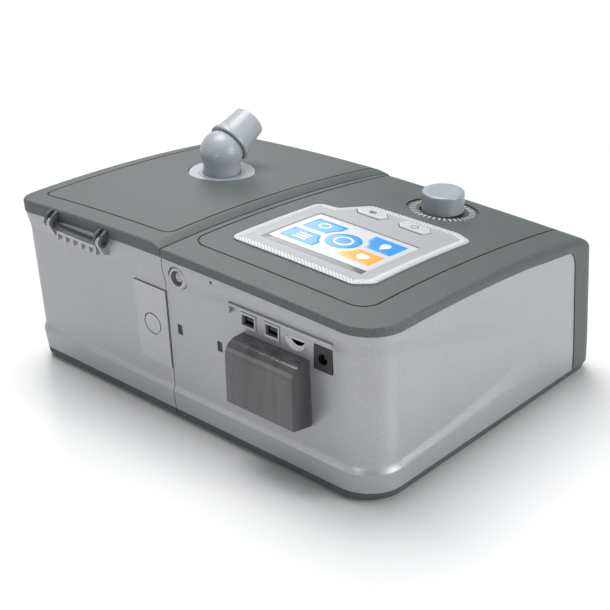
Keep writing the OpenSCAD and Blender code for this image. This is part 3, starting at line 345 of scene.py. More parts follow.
class Unit:
    """One of the two docked units: which way its end faces, where its seam is, and its corner radii."""

    def __init__(self, lid, gap=0.0):
        self.lid, self.fascia = lid, FASCIA + gap / math.cos(LEAN_ANGLE)
        self.out, self.seam, self.end = OUTWARDS[lid], SEAM[lid], END[lid]
        self.back_r, self.front_r = BACK_R[lid], 12.0

    def columns(self, **counts):
        """Segment letters and positions along them, from each letter's number of columns.

        A, B, b: seam (fascia, panel corner, panel). C: back. D: back corner. e, E, F: end (panel,
        panel corner, fascia). G: front corner. H: front."""
        return (np.concatenate([[letter] * n for letter, n in counts.items()]),
                np.concatenate([np.linspace(0, 1, n) for n in counts.values()]))

    def plan(self, seg, t, z, grow, seam_in=0.0):
        """x, y and the inward direction of each column at height z, its outer walls moved out by grow."""
        o, rb, rf, lap = self.out, self.back_r + grow, self.front_r + grow, 0.03
        sin, cos = np.sin(t * np.pi / 2), np.cos(t * np.pi / 2)
        xs = self.seam + o * seam_in + 0 * z
        xe = self.end + o * (np.interp(z, WALL_Z, END_OUT) + grow)
        rest = np.where(z > BASE_H, LEAN, 0.0)
        side = np.where(np.isin(seg, ["A", "B", "b"]), xs, xe)
        yf = front_line(z) + self.fascia + rest * crown_drop(side, self.lid)
        yp = yf + PANEL_R / math.cos(LEAN_ANGLE)
        xg, xh = xe - o * rf * (1 - cos), xe - o * rf + (xs - xe + o * rf) * t
        across = np.select([seg == "G", seg == "H", seg == "A"], [xg, xh, xs], xe)
        y0 = front_line(z) - grow + rest * crown_drop(across, self.lid)
        y1 = np.interp(z, WALL_Z, BACK_OUT) + grow
        table = {
            "A": (xs, y0 + (yf - lap - y0) * t, o, 0),
            "B": (xs, yf + (yp - yf) * t, o, 0),
            "b": (xs, yp + (y1 - yp) * t, o, 0),
            "C": (xs + (xe - o * rb - xs) * t, y1, 0, -1),
            "D": (xe - o * rb * (1 - sin), y1 - rb * (1 - cos), -o * sin, -cos),
            "e": (xe, y1 - rb + (yp - y1 + rb) * t, -o, 0),
            "E": (xe, yp + (yf - yp) * t, -o, 0),
            "F": (xe, yf - lap + (y0 + rf - yf + lap) * t, -o, 0),
            "G": (xg, y0 + rf * (1 - sin), -o * cos, sin),
            "H": (xh, y0, 0, 1),
        }
        out = np.zeros((4, len(seg)))
        for letter, values in table.items():
            here = seg == letter
            out[:, here] = [np.broadcast_to(value, z.shape)[here] for value in values]
        x, y, nx, ny = out
        back = ((seg == "b") & (t == 1)) | ((seg == "C") & (t == 0))
        front = ((seg == "H") & (t == 1)) | ((seg == "A") & (t == 0))
        return x, y, np.where(back | front, o, nx), np.where(back, -1.0, np.where(front, 1.0, ny))

    def solve(self, seg, t, grow, height, seam_in=0.0, slack=0.0):
        """Where each column's wall meets the surface height(x, y), by halving."""
        lo, hi = np.full(len(t), 2.0), np.full(len(t), 150.0)
        for _ in range(34):
            mid = (lo + hi) / 2
            x, y, _, _ = self.plan(seg, t, mid, grow, seam_in)
            inside = height(x, y) - mid > -slack
            lo, hi = np.where(inside, mid, lo), np.where(inside, hi, mid)
        return lo

    def walls(self, seg, t, z, grow, seam_in=0.0):
        """Points of the wall: each row of z holds a height per column."""
        return np.array([np.column_stack([*self.plan(seg, t, row, grow, seam_in)[:2], row]) for row in z])

    def panel_top(self, seg, t, gap=0.0):
        """Upper edge of the silver panel: under the rim, round the panel's corner, then down the fascia."""
        edge = lambda x, y: over_front(x, y, self.lid, PANEL_R, RIM[self.lid], FASCIA, gap)
        return self.solve(seg, t, 0.0, edge, slack=0.02)

    def cover_foot(self, seg, t):
        """Lower edge of the cover: the line under the lid's rim, or the panel's edge and the base's top."""
        if self.lid:
            return self.solve(seg, t, 0.0, lambda x, y: long_arc(x, y, True, RIM[1]))
        return np.where(np.isin(seg, ["A", "F", "G", "H"]), BASE_H + GAP, self.panel_top(seg, t))

    def edge_radius(self, seg, t):
        """Radius of the cover's edge: small at the back, wider along the end, less at the front corner."""
        back, wide, front, seam, pace, power = EDGE[self.lid]
        widening = back + (wide - back) * np.clip(t * pace, 0, 1) ** power
        narrowing = wide - (wide - 2.0) * t ** 2
        at_seam = np.isin(seg, ["A", "B", "b"]) | ((seg == "C") & (t == 0)) | ((seg == "H") & (t == 1))
        choices = [(at_seam, seam), (seg == "e", widening), (np.isin(seg, ["E", "F"]), wide),
                   (seg == "G", narrowing), (seg == "H", front)]
        return np.select([c for c, _ in choices], [r + 0 * t for _, r in choices], back)

    def cover(self, seg, t, grow, drop, edge_r, seam_in=0.0):
        """The cover's skin: up the leaning wall, round the edge's arc, then over the roof to its middle line.

        The arc touches the wall and the roof at its radius times the tangent of half their turn."""
        wall_rows, edge_rows, roof_rows = 10, 9, 40
        roof = lambda x, y: skin(x, y, self.lid) - drop
        zk = self.solve(seg, t, grow, roof, seam_in, slack=0.02)
        x, y, nx, ny = self.plan(seg, t, zk, grow, seam_in)
        xb, yb, _, _ = self.plan(seg, t, zk - 3.0, grow, seam_in)
        up = np.column_stack([x - xb, y - yb, np.full(len(t), 3.0)])
        up /= np.linalg.norm(up, axis=1)[:, None]
        reach = np.minimum(edge_r, 10.0)
        for _ in range(3):
            x2, y2 = x + nx * reach, y + ny * reach
            slope = (roof(x2 + nx * 0.4, y2 + ny * 0.4) - roof(x2 - nx * 0.4, y2 - ny * 0.4)) / 0.8
            over = np.column_stack([nx, ny, slope])
            size = np.linalg.norm(over, axis=1)
            over /= size[:, None]
            turn = np.arccos(np.clip((up * over).sum(1), -1, 1))
            reach = np.minimum(edge_r * np.tan(turn / 2) / size, 10.5)
        p2 = np.column_stack([x2, y2, roof(x2, y2)])
        corner = p2 - over * (reach * size)[:, None]
        z0 = np.minimum(corner[:, 2], zk) - up[:, 2] * reach * size
        low = np.minimum(self.cover_foot(seg, t), z0 - 0.05)
        wall = self.walls(seg, t, low + (z0 - low) * np.linspace(0, 1, wall_rows)[:, None], grow, seam_in)
        s = np.linspace(0, 1, edge_rows + 1)[1:, None, None]
        first, middle, last = (1 - s) ** 2, 2 * s * (1 - s) * np.cos(turn / 2)[None, :, None], s ** 2
        bend = (first * wall[-1] + middle * corner + last * p2) / (first + middle + last)
        k = (np.linspace(0, 1, roof_rows + 1)[1:, None]) ** 1.7
        px, py = x2 + ((self.seam + self.end) / 2 - x2) * k, y2 + (-100.0 - y2) * k
        return np.concatenate([wall, bend, np.stack([px, py, roof(px, py)], -1)])


MAIN, HUM = Unit(False), Unit(True)


def cover_solid(unit, name):
    """Outer and inner skins of a moulded cover, joined along the lower edge."""
    seg, t = unit.columns(A=8, B=8, b=40, C=60, D=26, e=70, E=16, F=6, G=22, H=60)
    outer = unit.cover(seg, t, RIM_OUT, 0.0, unit.edge_radius(seg, t))
    inner = unit.cover(seg, t, -WALL, WALL, np.full(len(t), 0.6), seam_in=WALL)
    s = Shell().grid(outer, around=True).grid(inner, around=True)
    return s.grid(np.stack([inner[0], outer[0]]), around=True).make(name, weld=4e-3)


# ---- Recess in the silver walls: its edge on the wall, and the edge of its floor ----
OUTER = np.array([
    [60, 103], [-17, 102.7], [-52, 94.7], [-91, 85.4], [-122, 76], [-144, 67.6], [-156, 57.5],
    [-164, 40.7], [-167, 30.6], [-161, 24.6], [-117, 25.8], [-58, 22.2], [-21, 20.5], [60, 20.5]])
INNER = np.array([
    [60, 94.5], [-17, 94.2], [-53, 83.9], [-92, 72.8], [-118, 64.4], [-133, 56], [-135, 45.6],
    [-135, 39.6], [-116, 33.7], [-72, 27.8], [-21, 24.0], [60, 23.5]])


def inside_and_distance(px, py, loop):
    """Whether each point is inside the loop, by crossings, and its distance from the loop's nearest side."""
    a, b = loop, np.roll(loop, -1, 0)
    p = np.stack([px, py], -1)[..., None, :]
    ab = b - a
    s = np.clip(((p - a) * ab).sum(-1) / (ab ** 2).sum(-1), 0, 1)
    dist = np.linalg.norm(p - (a + ab * s[..., None]), axis=-1).min(-1)
    straddle = (a[:, 1] > py[..., None]) != (b[:, 1] > py[..., None])
    dy = np.where(b[:, 1] == a[:, 1], 1.0, b[:, 1] - a[:, 1])
    cross = px[..., None] < a[:, 0] + (py[..., None] - a[:, 1]) * (b[:, 0] - a[:, 0]) / dy
    return (straddle & cross).sum(-1) % 2 == 1, dist


def recess(seg, y, z):
    """Depth of the recess: none outside OUTER, all of it inside INNER, and an even slope between."""
    y = np.where(np.isin(seg, ["C", "D"]), 10.0, y)
    in_outer, d_outer = inside_and_distance(y, z, OUTER)
    in_inner, d_inner = inside_and_distance(y, z, INNER)
    share = np.where(in_inner, 1.0, d_outer / np.maximum(d_outer + d_inner, 1e-6))
    return np.where((in_outer | in_inner) & ~np.isin(seg, ["B", "b"]), RELIEF * share, 0.0)


def shell_solid(lid, name):
    """The silver shell: seam wall, back, corner and end up to the fascia, with the recess pressed into it."""
    unit, rows = Unit(lid, GAP), 72
    seg, t = unit.columns(B=6, b=36, C=92, D=30, e=100, E=12)
    low, high = BASE_H + GAP, unit.panel_top(seg, t, GAP)
    z = low + (high - low) * np.linspace(0, 1, rows)[:, None]
    outer = unit.walls(seg, t, z, 0.0)
    depth = recess(np.broadcast_to(seg, z.shape), outer[..., 1], z)
    start, seam = np.argmax(seg == "C"), seg == "b"
    _, _, nx, ny = unit.plan(seg, t, z[0], 0.0)
    depth[:, seam] = depth[:, start:start + 1]
    outer[..., 0] += np.where(seam | ((seg == "C") & (t == 0)), 0.0, nx) * depth
    outer[..., 1] += np.where(seam, -t, ny) * depth
    return Shell().skins(outer, unit.walls(seg, t, z, -WALL - RELIEF, WALL + RELIEF)).make(name)


def front_solid(name):
    """The humidifier's dark front: fascia, front corner and front wall, up to the lid's lower edge."""
    seg, t = HUM.columns(E=14, F=8, G=22, H=60, A=8, B=14)
    low = np.where(np.isin(seg, ["E", "B"]), HUM.panel_top(seg, t), BASE_H + GAP)
    lid = HUM.cover(seg, t, RIM_OUT, 0.0, HUM.edge_radius(seg, t))
    high = np.maximum(lid[0, :, 2] - GAP, low + 0.03)
    z = low + (high - low) * np.linspace(0, 1, 24)[:, None]
    skins = HUM.walls(seg, t, z, RIM_OUT), HUM.walls(seg, t, z, -WALL, WALL)
    return Shell().skins(*skins).make(name, weld=2e-3)


def tray_solid(unit, name):
    """The base tray: a tucked-in band round the foot of the walls, closed by its floor."""
    seg, t = unit.columns(A=3, b=12, C=30, D=24, e=40, F=6, G=22, H=40)
    outline = {1.2: 0.3, 1.5: 0.05, 2.2: 0.0, 3.3: 0.0, 5.0: 0.0, 6.9: 0.0, 7.4: 0.25}
    even = lambda z: np.full((1, len(t)), z)
    rows = np.concatenate([unit.walls(seg, t, even(z), -tuck) for z, tuck in outline.items()])
    inner = [unit.walls(seg, t, even(z), -WALL, WALL)[0] for z in (7.4, 3.8)]
    middle = lambda z: np.full(rows[0].shape, [(unit.seam + unit.end) / 2, -110.0, z])
    s = Shell().grid(rows, around=True).grid(np.stack([rows[-1], *inner]), around=True)
    s.grid(np.stack([inner[1], middle(3.8)]), around=True).grid(np.stack([middle(1.2), rows[0]]), around=True)
    return s.make(name, weld=4e-3)


# ---- Shapes that lie on the roof ----
def on_roof(xy, lift, lid=False):
    """Plan points lifted onto the roof."""
    xy = np.asarray(xy, float)
    return np.column_stack([xy, long_arc(xy[:, 0], xy[:, 1], lid) + lift])


def roof_plate(s, outline, low, high, edge=0.3, mark=0, lid=False, fill=6):
    """A plate that follows the roof: rings step in over a small rounded edge, then shrink to the middle."""
    c, n = outline.mean(0), normals(outline)
    if ((c - outline) * n).sum() < 0:
        n = -n
    inner = outline + n * edge
    rings = [on_roof(outline + (c - outline) * k, low, lid) for k in (1.0, 0.5, 0.0)]
    for a in np.radians(np.linspace(0, 90, 4)):
        step, fall = edge * (1 - math.cos(a)), edge * (1 - math.sin(a))
        rings.append(on_roof(outline + n * step, high - fall, lid))
    rings += [on_roof(inner + (c - inner) * k, high, lid) for k in np.linspace(0, 1, fill + 1)[1:]]
    return s.grid(np.array(rings), around=True, mark=mark)


def boss(centre, r, lid):
    """A disc of plastic under the roof, so that what is cut into the roof there has a floor and a wall."""
    return roof_plate(Shell(), circle(centre, r, 64), -7.0, -1.2, lid=lid).make("boss")


def down_front(x, lid, z_low):
    """Points from low on the front wall up over the roll to y = -170, at one x."""
    y = np.linspace(-214, -170, 60)
    z = skin(np.full(60, x), y, lid)
    wall_z = np.linspace(z_low, 84, 12)
    wall = np.column_stack([np.full(12, x), front_line(wall_z) - RIM_OUT, wall_z])
    keep = (y > roll_foot(lid) + 0.4) & (z > 86 - crown_drop(x, lid))
    roll = np.column_stack([np.full(keep.sum(), x), y[keep], z[keep]])
    return np.concatenate([wall[wall_z < z[keep].min() - 1], roll])


def groove_tool(lid, z_low):
    """A round bar along the shadow line, of rings square to its path; their faces carry mark 1.

    The path goes up the front, back along the roof, round both far corners, and home beside the seam."""
    x_far, x_near, y_back, r = GROOVE[lid]
    flat = rounded([[x_far, -169], [x_far, y_back], [x_near, y_back], [x_near, -169]], r, 14, closed=False)
    flat = dense(flat, 3.0, closed=False)
    top = np.column_stack([flat, skin(flat[:, 0], flat[:, 1], lid)])
    path = np.concatenate([down_front(x_far, lid, z_low), top, down_front(x_near, lid, z_low)[::-1]])
    p = walked(path, lambda length: np.arange(0, length, 1.6))
    d = np.gradient(p, axis=0)
    d /= np.linalg.norm(d, axis=1)[:, None]
    side = np.cross(d, [0.0, 0.3, 1.0])
    side /= np.linalg.norm(side, axis=1)[:, None]
    a = np.linspace(0, 2 * np.pi, 8, endpoint=False)[None, :, None]
    rings = p[:, None] + GROOVE_R * (np.cos(a) * side[:, None] + np.sin(a) * np.cross(side, d)[:, None])
    return Shell().tube(rings, 1).make("groove")


# ---- Materials ----
def linear(r, g, b):
    """A display colour from 0 to 255 as scene-linear light, with an alpha of 1."""
    c = np.array([r, g, b]) / 255
    return (*np.where(c <= 0.04045, c / 12.92, ((c + 0.055) / 1.055) ** 2.4).tolist(), 1.0)


class Num:
    """A number inside a material: each operation on it adds a Math node."""

    def __init__(self, paint, socket):
        self.paint, self.socket = paint, socket

    def math(self, operation, *others):
        """This number and the others through one Math node."""
        inputs = dict(enumerate([self, *others]))
        return Num(self.paint, self.paint.node("ShaderNodeMath", {"operation": operation}, inputs))

    def __add__(self, other):
        return self.math("ADD", other)

    def __sub__(self, other):
        return self.math("SUBTRACT", other)

    def __mul__(self, other):
        return self.math("MULTIPLY", other)

    def __truediv__(self, other):
        return self.math("DIVIDE", other)

    def __pow__(self, other):
        return self.math("POWER", other)

    def __neg__(self):
        return self * -1.0

    def __rsub__(self, other):
        return -self + other

    def __rtruediv__(self, other):
        return self ** -1.0 * other

    __radd__ = __add__
    __rmul__ = __mul__

    def step(self, start, end):
        """A smooth rise from 0 at start to 1 at end."""
        t = ((self - start) / (end - start)).math("MAXIMUM", 0.0).math("MINIMUM", 1.0)
        return t * t * (3 - 2 * t)


MAT = {}


class Paint:
    """One material, or the world's surround. node() adds every node; the other methods name common ones."""

    def __init__(self, name, store="materials"):
        self.name, self.owner = name, getattr(bpy.data, store).new(name)
        self.owner.use_nodes = True
        self.tree = self.owner.node_tree
        self.tree.nodes.clear()

    def node(self, kind, settings=None, inputs=None, out=0):
        """Adds a node: its settings come first, then its sockets take values or links. Returns one output."""
        node = self.tree.nodes.new(kind)
        for key, value in (settings or {}).items():
            setattr(node, key, value)
        for key, value in (inputs or {}).items():
            value = value.socket if isinstance(value, Num) else value
            if isinstance(value, bpy.types.NodeSocket):
                self.tree.links.new(value, node.inputs[key])
            else:
                node.inputs[key].default_value = value
        return node.outputs[out] if len(node.outputs) else node

    @cached_property
    def place(self):
        """The point being shaded, in the object's own coordinates."""
        return self.node("ShaderNodeTexCoord", out="Object")

    def noise(self, size, detail=2.0, stretch=(1, 1, 1)):
        """Soft noise whose features are about size millimetres wide, longer where stretch is smaller."""
        where = self.node("ShaderNodeMapping", None, {"Vector": self.place, "Scale": stretch})
        inputs = {"Vector": where, "Scale": 1000 / size, "Detail": detail}
        return Num(self, self.node("ShaderNodeTexNoise", None, inputs))

    def cells(self, size):
        """Distance from the nearest of scattered points that are about size millimetres apart."""
        inputs = {"Vector": self.place, "Scale": 1000 / size}
        return Num(self, self.node("ShaderNodeTexVoronoi", None, inputs))

    def axis(self, name):
        """One coordinate of the place, in metres."""
        return Num(self, self.node("ShaderNodeSeparateXYZ", None, {0: self.place}, out=name))

    def mix(self, share, a, b):
        """The colour that lies that share of the way from a to b."""
        return self.node("ShaderNodeMix", {"data_type": "RGBA"}, {0: share, 6: a, 7: b}, out=2)

    def around(self, colour, share, spread):
        """The colour, darker by spread where share is 0 and lighter by it where share is 1."""
        low, high = (tuple(c * k for c in colour[:3]) + (1.0,) for k in (1 - spread, 1 + spread))
        return self.mix(share, low, high)

    def bump(self, height, depth):
        """A normal that follows the height, which stands depth millimetres tall."""
        inputs = {"Height": height, "Distance": depth / 1000, "Strength": 1.0}
        return self.node("ShaderNodeBump", None, inputs)

    def skin(self, **inputs):
        """The principled surface; its names have a space where the keyword has an underscore."""
        named = {key.replace("_", " "): value for key, value in inputs.items()}
        return self.node("ShaderNodeBsdfPrincipled", None, named)

    def blend(self, share, first, second):
        """The surface that lies that share of the way from the first to the second."""
        return self.node("ShaderNodeMixShader", None, {0: share, 1: first, 2: second})

    def done(self, surface, kind="Material"):
        """Ties the surface to the output, and keeps the finished material in MAT by its name."""
        self.node("ShaderNodeOutput" + kind, None, {"Surface": surface})
        MAT[self.name] = self.owner
        return self.owner


def plastic(name, colour, rough=0.5, grain=0.02, size=0.6, metallic=0.0, coat=0.0, drift=0.05, speck=0.04):
    """Moulded plastic: a fine pebbled grain, a slow drift of tone, and a finish duller in the pits."""
    p = Paint(name)
    fine, slow = p.noise(size, 2.0), p.noise(70.0, 3.0)
    share = 0.5 + (slow - 0.5) * (drift / (drift + speck)) + (fine - 0.5) * (3 * speck / (drift + speck))
    p.done(p.skin(Base_Color=p.around(linear(*colour), share, drift + speck), Metallic=metallic,
                  Roughness=rough + (fine - 0.5) * 0.12 + (slow - 0.5) * 0.06,
                  Coat_Weight=coat, Coat_Roughness=0.12, Normal=p.bump(fine, grain)))


def silver(name, colour):
    """Painted silver: metal flakes in a satin lacquer, each catching the light a little differently."""
    p = Paint(name)
    flakes, slow = p.cells(0.8), p.noise(55.0, 3.0)
    share = 0.5 + (slow - 0.5) * 0.5 + (flakes - 0.4) * 1.1
    p.done(p.skin(Base_Color=p.around(linear(*colour), share, 0.14), Metallic=0.55,
                  Roughness=0.40 + (flakes - 0.4) * 0.16 + (slow - 0.5) * 0.05,
                  Coat_Weight=0.12, Coat_Roughness=0.3, Normal=p.bump(flakes, 0.008)))


def display(name, colour, glow=0.35):
    """A lit area of the screen under its glass: fine pixel rows, a faint unevenness, and a glossy front."""
    p = Paint(name)
    rows, slow = (p.axis("Y") * 12000.0).math("SINE"), p.noise(40.0, 2.0)
    tone = p.around(linear(*colour), 0.5 + rows * 0.2 + (slow - 0.5) * 0.8, 0.035)
    p.done(p.skin(Base_Color=tone, Roughness=0.22 + slow * 0.06, Emission_Color=tone,
                  Emission_Strength=glow, Coat_Weight=0.3, Coat_Roughness=0.08))


def see_through(name, colour, body, rough=0.15, upright=0.35, spread=0.12):
    """Clear or smoked plastic: light goes straight through, less so at a slant, with a few cloudy streaks."""
    p = Paint(name)
    slant = Num(p, p.node("ShaderNodeLayerWeight", None, {"Blend": 0.45}, out="Facing"))
    cloud = p.noise(9.0, 3.0, (1, 1, upright))
    tint = p.around(linear(*colour), cloud.step(0.3, 0.7), spread)
    clear = p.node("ShaderNodeBsdfTransparent", None, {"Color": (0.8, 0.8, 0.8, 1.0)})
    solid = p.skin(Base_Color=tint, Roughness=rough + cloud * 0.08, Coat_Weight=0.5, Coat_Roughness=0.08)
    p.done(p.blend(body + slant * (0.9 - body) + (cloud - 0.5) * 0.08, clear, solid))


def foam(name, colour):
    """Open foam: dark pores between paler walls."""
    p = Paint(name)
    pores = p.cells(1.1)
    tone = p.around(linear(*colour), pores.step(0.1, 0.6), 0.06)
    p.done(p.skin(Base_Color=tone, Roughness=0.9, Normal=p.bump(pores, 0.03)))


def metal(name, colour, rough=0.3):
    """Turned or rolled metal with fine lines along its length."""
    p = Paint(name)
    lines = p.noise(0.35, 3.0, (0.08, 1, 1))
    p.done(p.skin(Base_Color=p.around(linear(*colour), lines, 0.06), Metallic=1.0,
                  Roughness=rough + (lines - 0.5) * 0.18, Normal=p.bump(lines, 0.004)))


def board(name):
    """A printed circuit board: green lacquer over copper tracks that run in straight lanes."""
    p = Paint(name)
    lanes = (p.axis("X") * 2600.0).math("SINE") * (p.axis("Y") * 900.0 + p.noise(14.0) * 9).math("SINE")
    tracks = lanes.step(0.35, 0.5)
    p.done(p.skin(Base_Color=p.mix(tracks, linear(20, 74, 45), linear(58, 128, 74)), Roughness=0.35,
                  Coat_Weight=0.5, Normal=p.bump(tracks, 0.03)))


plastic("cover_plastic", (78, 83, 83), 0.52, 0.06, 1.3, drift=0.04, speck=0.16)
plastic("base_plastic", (68, 73, 73), 0.6, 0.03, 0.9, speck=0.12)
plastic("shadow_line", (40, 43, 43), 0.8, 0.02, 0.8)
plastic("bezel_plastic", (160, 162, 165), 0.42, 0.012, 0.5, metallic=0.15, drift=0.03)
# A lighter copy of the bezel plastic: a painted highlight on one flank of each rib in the control panel's
# border.
plastic("bezel_rib_painted_highlight", (206, 207, 209), 0.4, 0.01, 0.5, metallic=0.1, drift=0.03)
plastic("key_white", (184, 185, 186), 0.35, 0.006, 0.5, coat=0.3, drift=0.02, speck=0.01)
plastic("knob_grey", (152, 157, 164), 0.38, 0.01, 0.5, metallic=0.25, drift=0.03)
plastic("black_plastic", (34, 35, 37), 0.45, 0.012, 0.6)
plastic("card_plastic", (206, 208, 210), 0.4, 0.006, 0.5)
plastic("soft_rubber", (52, 53, 55), 0.75, 0.03, 0.8)
plastic("white_plastic", (222, 223, 224), 0.4, 0.01, 0.6)
plastic("elbow_grey", (158, 163, 168), 0.42, 0.006, 0.8, coat=0.25, drift=0.03, speck=0.01)
plastic("disc_grey", (158, 164, 170), 0.4, 0.008, 0.6, drift=0.03, speck=0.02)
silver("shell_silver", (163, 164, 168))
silver("trim_silver", (172, 173, 177))
see_through("smoked_plastic", (74, 74, 76), 0.84, 0.12, 0.05, 0.3)
see_through("smoked_rib", (34, 34, 36), 0.9, 0.2)
see_through("tank_clear", (205, 218, 226), 0.22, 0.08)
foam("foam", (206, 208, 206))
metal("steel", (196, 197, 200))
metal("plate_alloy", (184, 186, 189), 0.42)
board("circuit_board")
display("screen", (182, 185, 187), 0.22)
display("tile_blue", (24, 124, 214))
display("tile_orange", (222, 142, 46))
display("tile_grey", (92, 94, 96), 0.2)
display("mark_white", (214, 216, 218))


# ---- Main unit ----
def screen_loop(grow):
    """The screen's rectangle, with small round corners."""
    return box_about(SCREEN, SCREEN_HALF[0] + grow, SCREEN_HALF[1] + grow, 1.2)


def key_loop(x, grow=0.0):
    """A key's hexagon, with its corners eased."""
    half = np.array([10.5, 5.75])
    c = np.array([[-9.5, 5.75], [-11.5, -0.75], [-6.5, -5.75], [9.5, -5.75], [11.5, 0.75], [6.5, 5.75]])
    return rounded(c * (1 + grow / half), 1.3, 6) + [x, KEY_Y]


def openings(screen_grow, key_grow):
    """Upright bars that cut the openings of the screen and the keys."""
    loops = [screen_loop(screen_grow)] + [key_loop(x, key_grow) for x in KEY_XS]
    return [bar(loop, 95, 130) for loop in loops]


def cover_main():
    """The main unit's dark cover: rim, roof and front in one, with the knob's well and ring recess."""
    obj = cover_solid(MAIN, "cover_main")
    cut(obj, [boss(KNOB, 25.0, False)], "UNION")
    floor_z, well_r = 104.22, 14.6
    well = [[0, floor_z], [well_r - 0.4, floor_z], [well_r, floor_z + 0.38], [well_r, 140], [0, 140]]
    tools = [turned(well, (*KNOB, 0)), drill(4.8, 60, 120, (*KNOB, 0))]
    tools += [roof_plate(Shell(), circle(KNOB, 23.0, 96), -RING_DEPTH, 12.0).make("ring_recess")]
    tools += openings(-2.0, 0.4)
    tools += [groove_tool(False, 9.0)]
    cut(obj, tools)
    finish_piece(obj, "main", "cover_plastic", ["main_cover"], ["cover_plastic", "shadow_line"], 28)


def shell_main():
    """The main unit's silver shell, with the ports' flat, the sockets' holes and the filter's opening cut."""
    obj = shell_solid(False, "shell_main")
    through = lambda loop: bar(loop, -30, 40, "y")
    behind = lambda r, place, steps=96: drill(r, -60, 20, (place[0], 20, place[1]), BACKWARDS, steps)
    tools = [bar(box_loop(27.6, 102.6, 83, 99, 1.2), 3.7, 40, "y")]
    tools += [bar(box_loop(27.9, 41.3, 78.8, 94.2, 0.8), 2.3, 40, "y")]
    tools += [through(box_about((x, PORT_Z), 5.85, 4.8, 0.5)) for x in PORT_XS]
    tools += [through(box_loop(48.7, 60.7, 89.8, 92.6, 0.5))]
    tools += [through(box_loop(FILTER_X[0] + 4.3, FILTER_X[1] - 4.3, 45, 77, 1.5))]
    dish = turned(arc(0, 0, 8.8, -90, 90, 33), (CARD[0], 8.2, CARD[1]), mark=1)
    tools += [cut(dish, [bar(box_loop(40, 70, -20, 40), CARD[1] - 0.4, 120)])]
    tools += [behind(7.3, SOCKET), behind(1.0, PIN_HOLE, 32)]
    tools += [through(box_about(place, 2.0, 3.4, 0.3)) for place in HATCHES]
    tools += [drill(12.2, 0, 40, (135, *DUCT), SIDEWAYS), behind(5.4, JACK)]
    cut(obj, tools)
    finish_piece(obj, "main", "shell_silver", ["main_shell"], ["shell_silver", "white_plastic"], 20)


def hatch_covers():
    """Two small dark covers of service holes in the back: stepped plugs set a little below the wall."""
    s = Shell()
    steps = ((0.0, -2.0), (0.0, -0.25), (0.15, 0.0), (0.7, 0.0), (0.7, -0.3))
    for x, z in HATCHES:
        y = np.interp(z, WALL_Z, BACK_OUT) - RELIEF - 0.7
        s.tube([level(box_about((x, z), 1.9 - k, 3.3 - k, 0.3), y + rise, "y") for k, rise in steps])
    finish_piece(s.make("hatch_covers"), "main", "shell_silver", looks=["base_plastic"])


def control_panel():
    """The pale control panel: a plate along the roof, with openings, in a border of slanting ribs.

    The outline is walked at even spacing. Ring k of the border has the height of a wave whose phase
    moves on with both the place along the outline and k, so the ribs slant. One flank of each rib
    is painted lighter as a painted highlight."""
    x0, x1, y0, y1 = 34.6, 135.8, -135.0, -30.3
    ribs, per_rib, band_w, plate_top, wave_h = 150, 4, 4.9, 0.9, 0.3
    corners = [[x0, y0 + 5], [x0 + 13, y0], [x1 - 25, y0 + 3], [x1 - 14, y0 + 23],
               [x1, y0 + 25], [x1, y1], [x0 + 9, y1], [x0, y1 - 9]]
    loop = rounded(corners, 6.0, 10)
    ends = np.concatenate([loop, loop[:1]])
    loop = walked(ends, lambda length: np.linspace(0, length, ribs * per_rib, endpoint=False))
    n, c = len(loop), loop.mean(0)
    inward = normals(loop, 2)
    wave = lambda k: 0.5 + 0.5 * np.sin(2 * np.pi * (np.arange(n) / per_rib + k / 5))
    shape = lambda k, h: on_roof(loop + inward * k, h)
    teeth = -wave_h * wave(0)[:, None]
    rim = [shape(k, h) for k, h in ((0.0, -plate_top), (0.0, 0.45), (teeth, 0.7), (0.5, plate_top))]
    band = [shape(0.5 + 0.55 * k, plate_top + wave_h * wave(k)) for k in range(1, 8)]
    inner = loop + inward * band_w
    plate = [on_roof(inner + (c - inner) * k, plate_top) for k in np.linspace(0, 1, 16)]
    under = [on_roof(loop + (c - loop) * k, -plate_top) for k in (1.0, 0.5)]
    s = Shell().grid(np.array(under + rim), around=True)
    s.grid(np.array([rim[-1]] + band + plate[:1]), around=True)
    row, place = np.divmod(np.arange((len(band) + 1) * n), n)
    # Mark 1 goes on two of each rib's four columns, its falling flank. That flank gets the lighter bezel
    # colour, a painted highlight where light catches the rib.
    s.marks[-len(row):] = ((place + row) % per_rib < 2).astype(int).tolist()
    obj = s.grid(np.array(plate), around=True).make("control_panel")
    cut(obj, openings(0.15, 0.45))
    finish_piece(obj, "main", "bezel_plastic", ["control_bezel"], ["bezel_plastic", "bezel_rib_painted_highlight"])


def tile_loop(x0, x1, y0, y1, centre, r):
    """A tile's rectangle, its corner nearest the round button hollowed by an arc about that button."""
    c = box_loop(x0, x1, y0, y1)
    k = int(np.linalg.norm(c - centre, axis=1).argmin())
    corner, ends = c[k], []
    for far in (c[k - 1], c[(k + 1) % 4]):
        u = (far - corner) / np.linalg.norm(far - corner)
        m = (centre - corner) @ u
        gap = r * r - ((centre - corner) @ (centre - corner) - m * m)
        ends.append(corner + u * (m + math.sqrt(max(gap, 0.0))))
    a0, a1 = (math.degrees(math.atan2(*(e - centre)[::-1])) for e in ends)
    turn = (a1 - a0 + 180) % 360 - 180
    return np.concatenate([arc(*centre, r, a0, a0 + turn, 12), [c[(k + i) % 4] for i in (1, 2, 3)]])


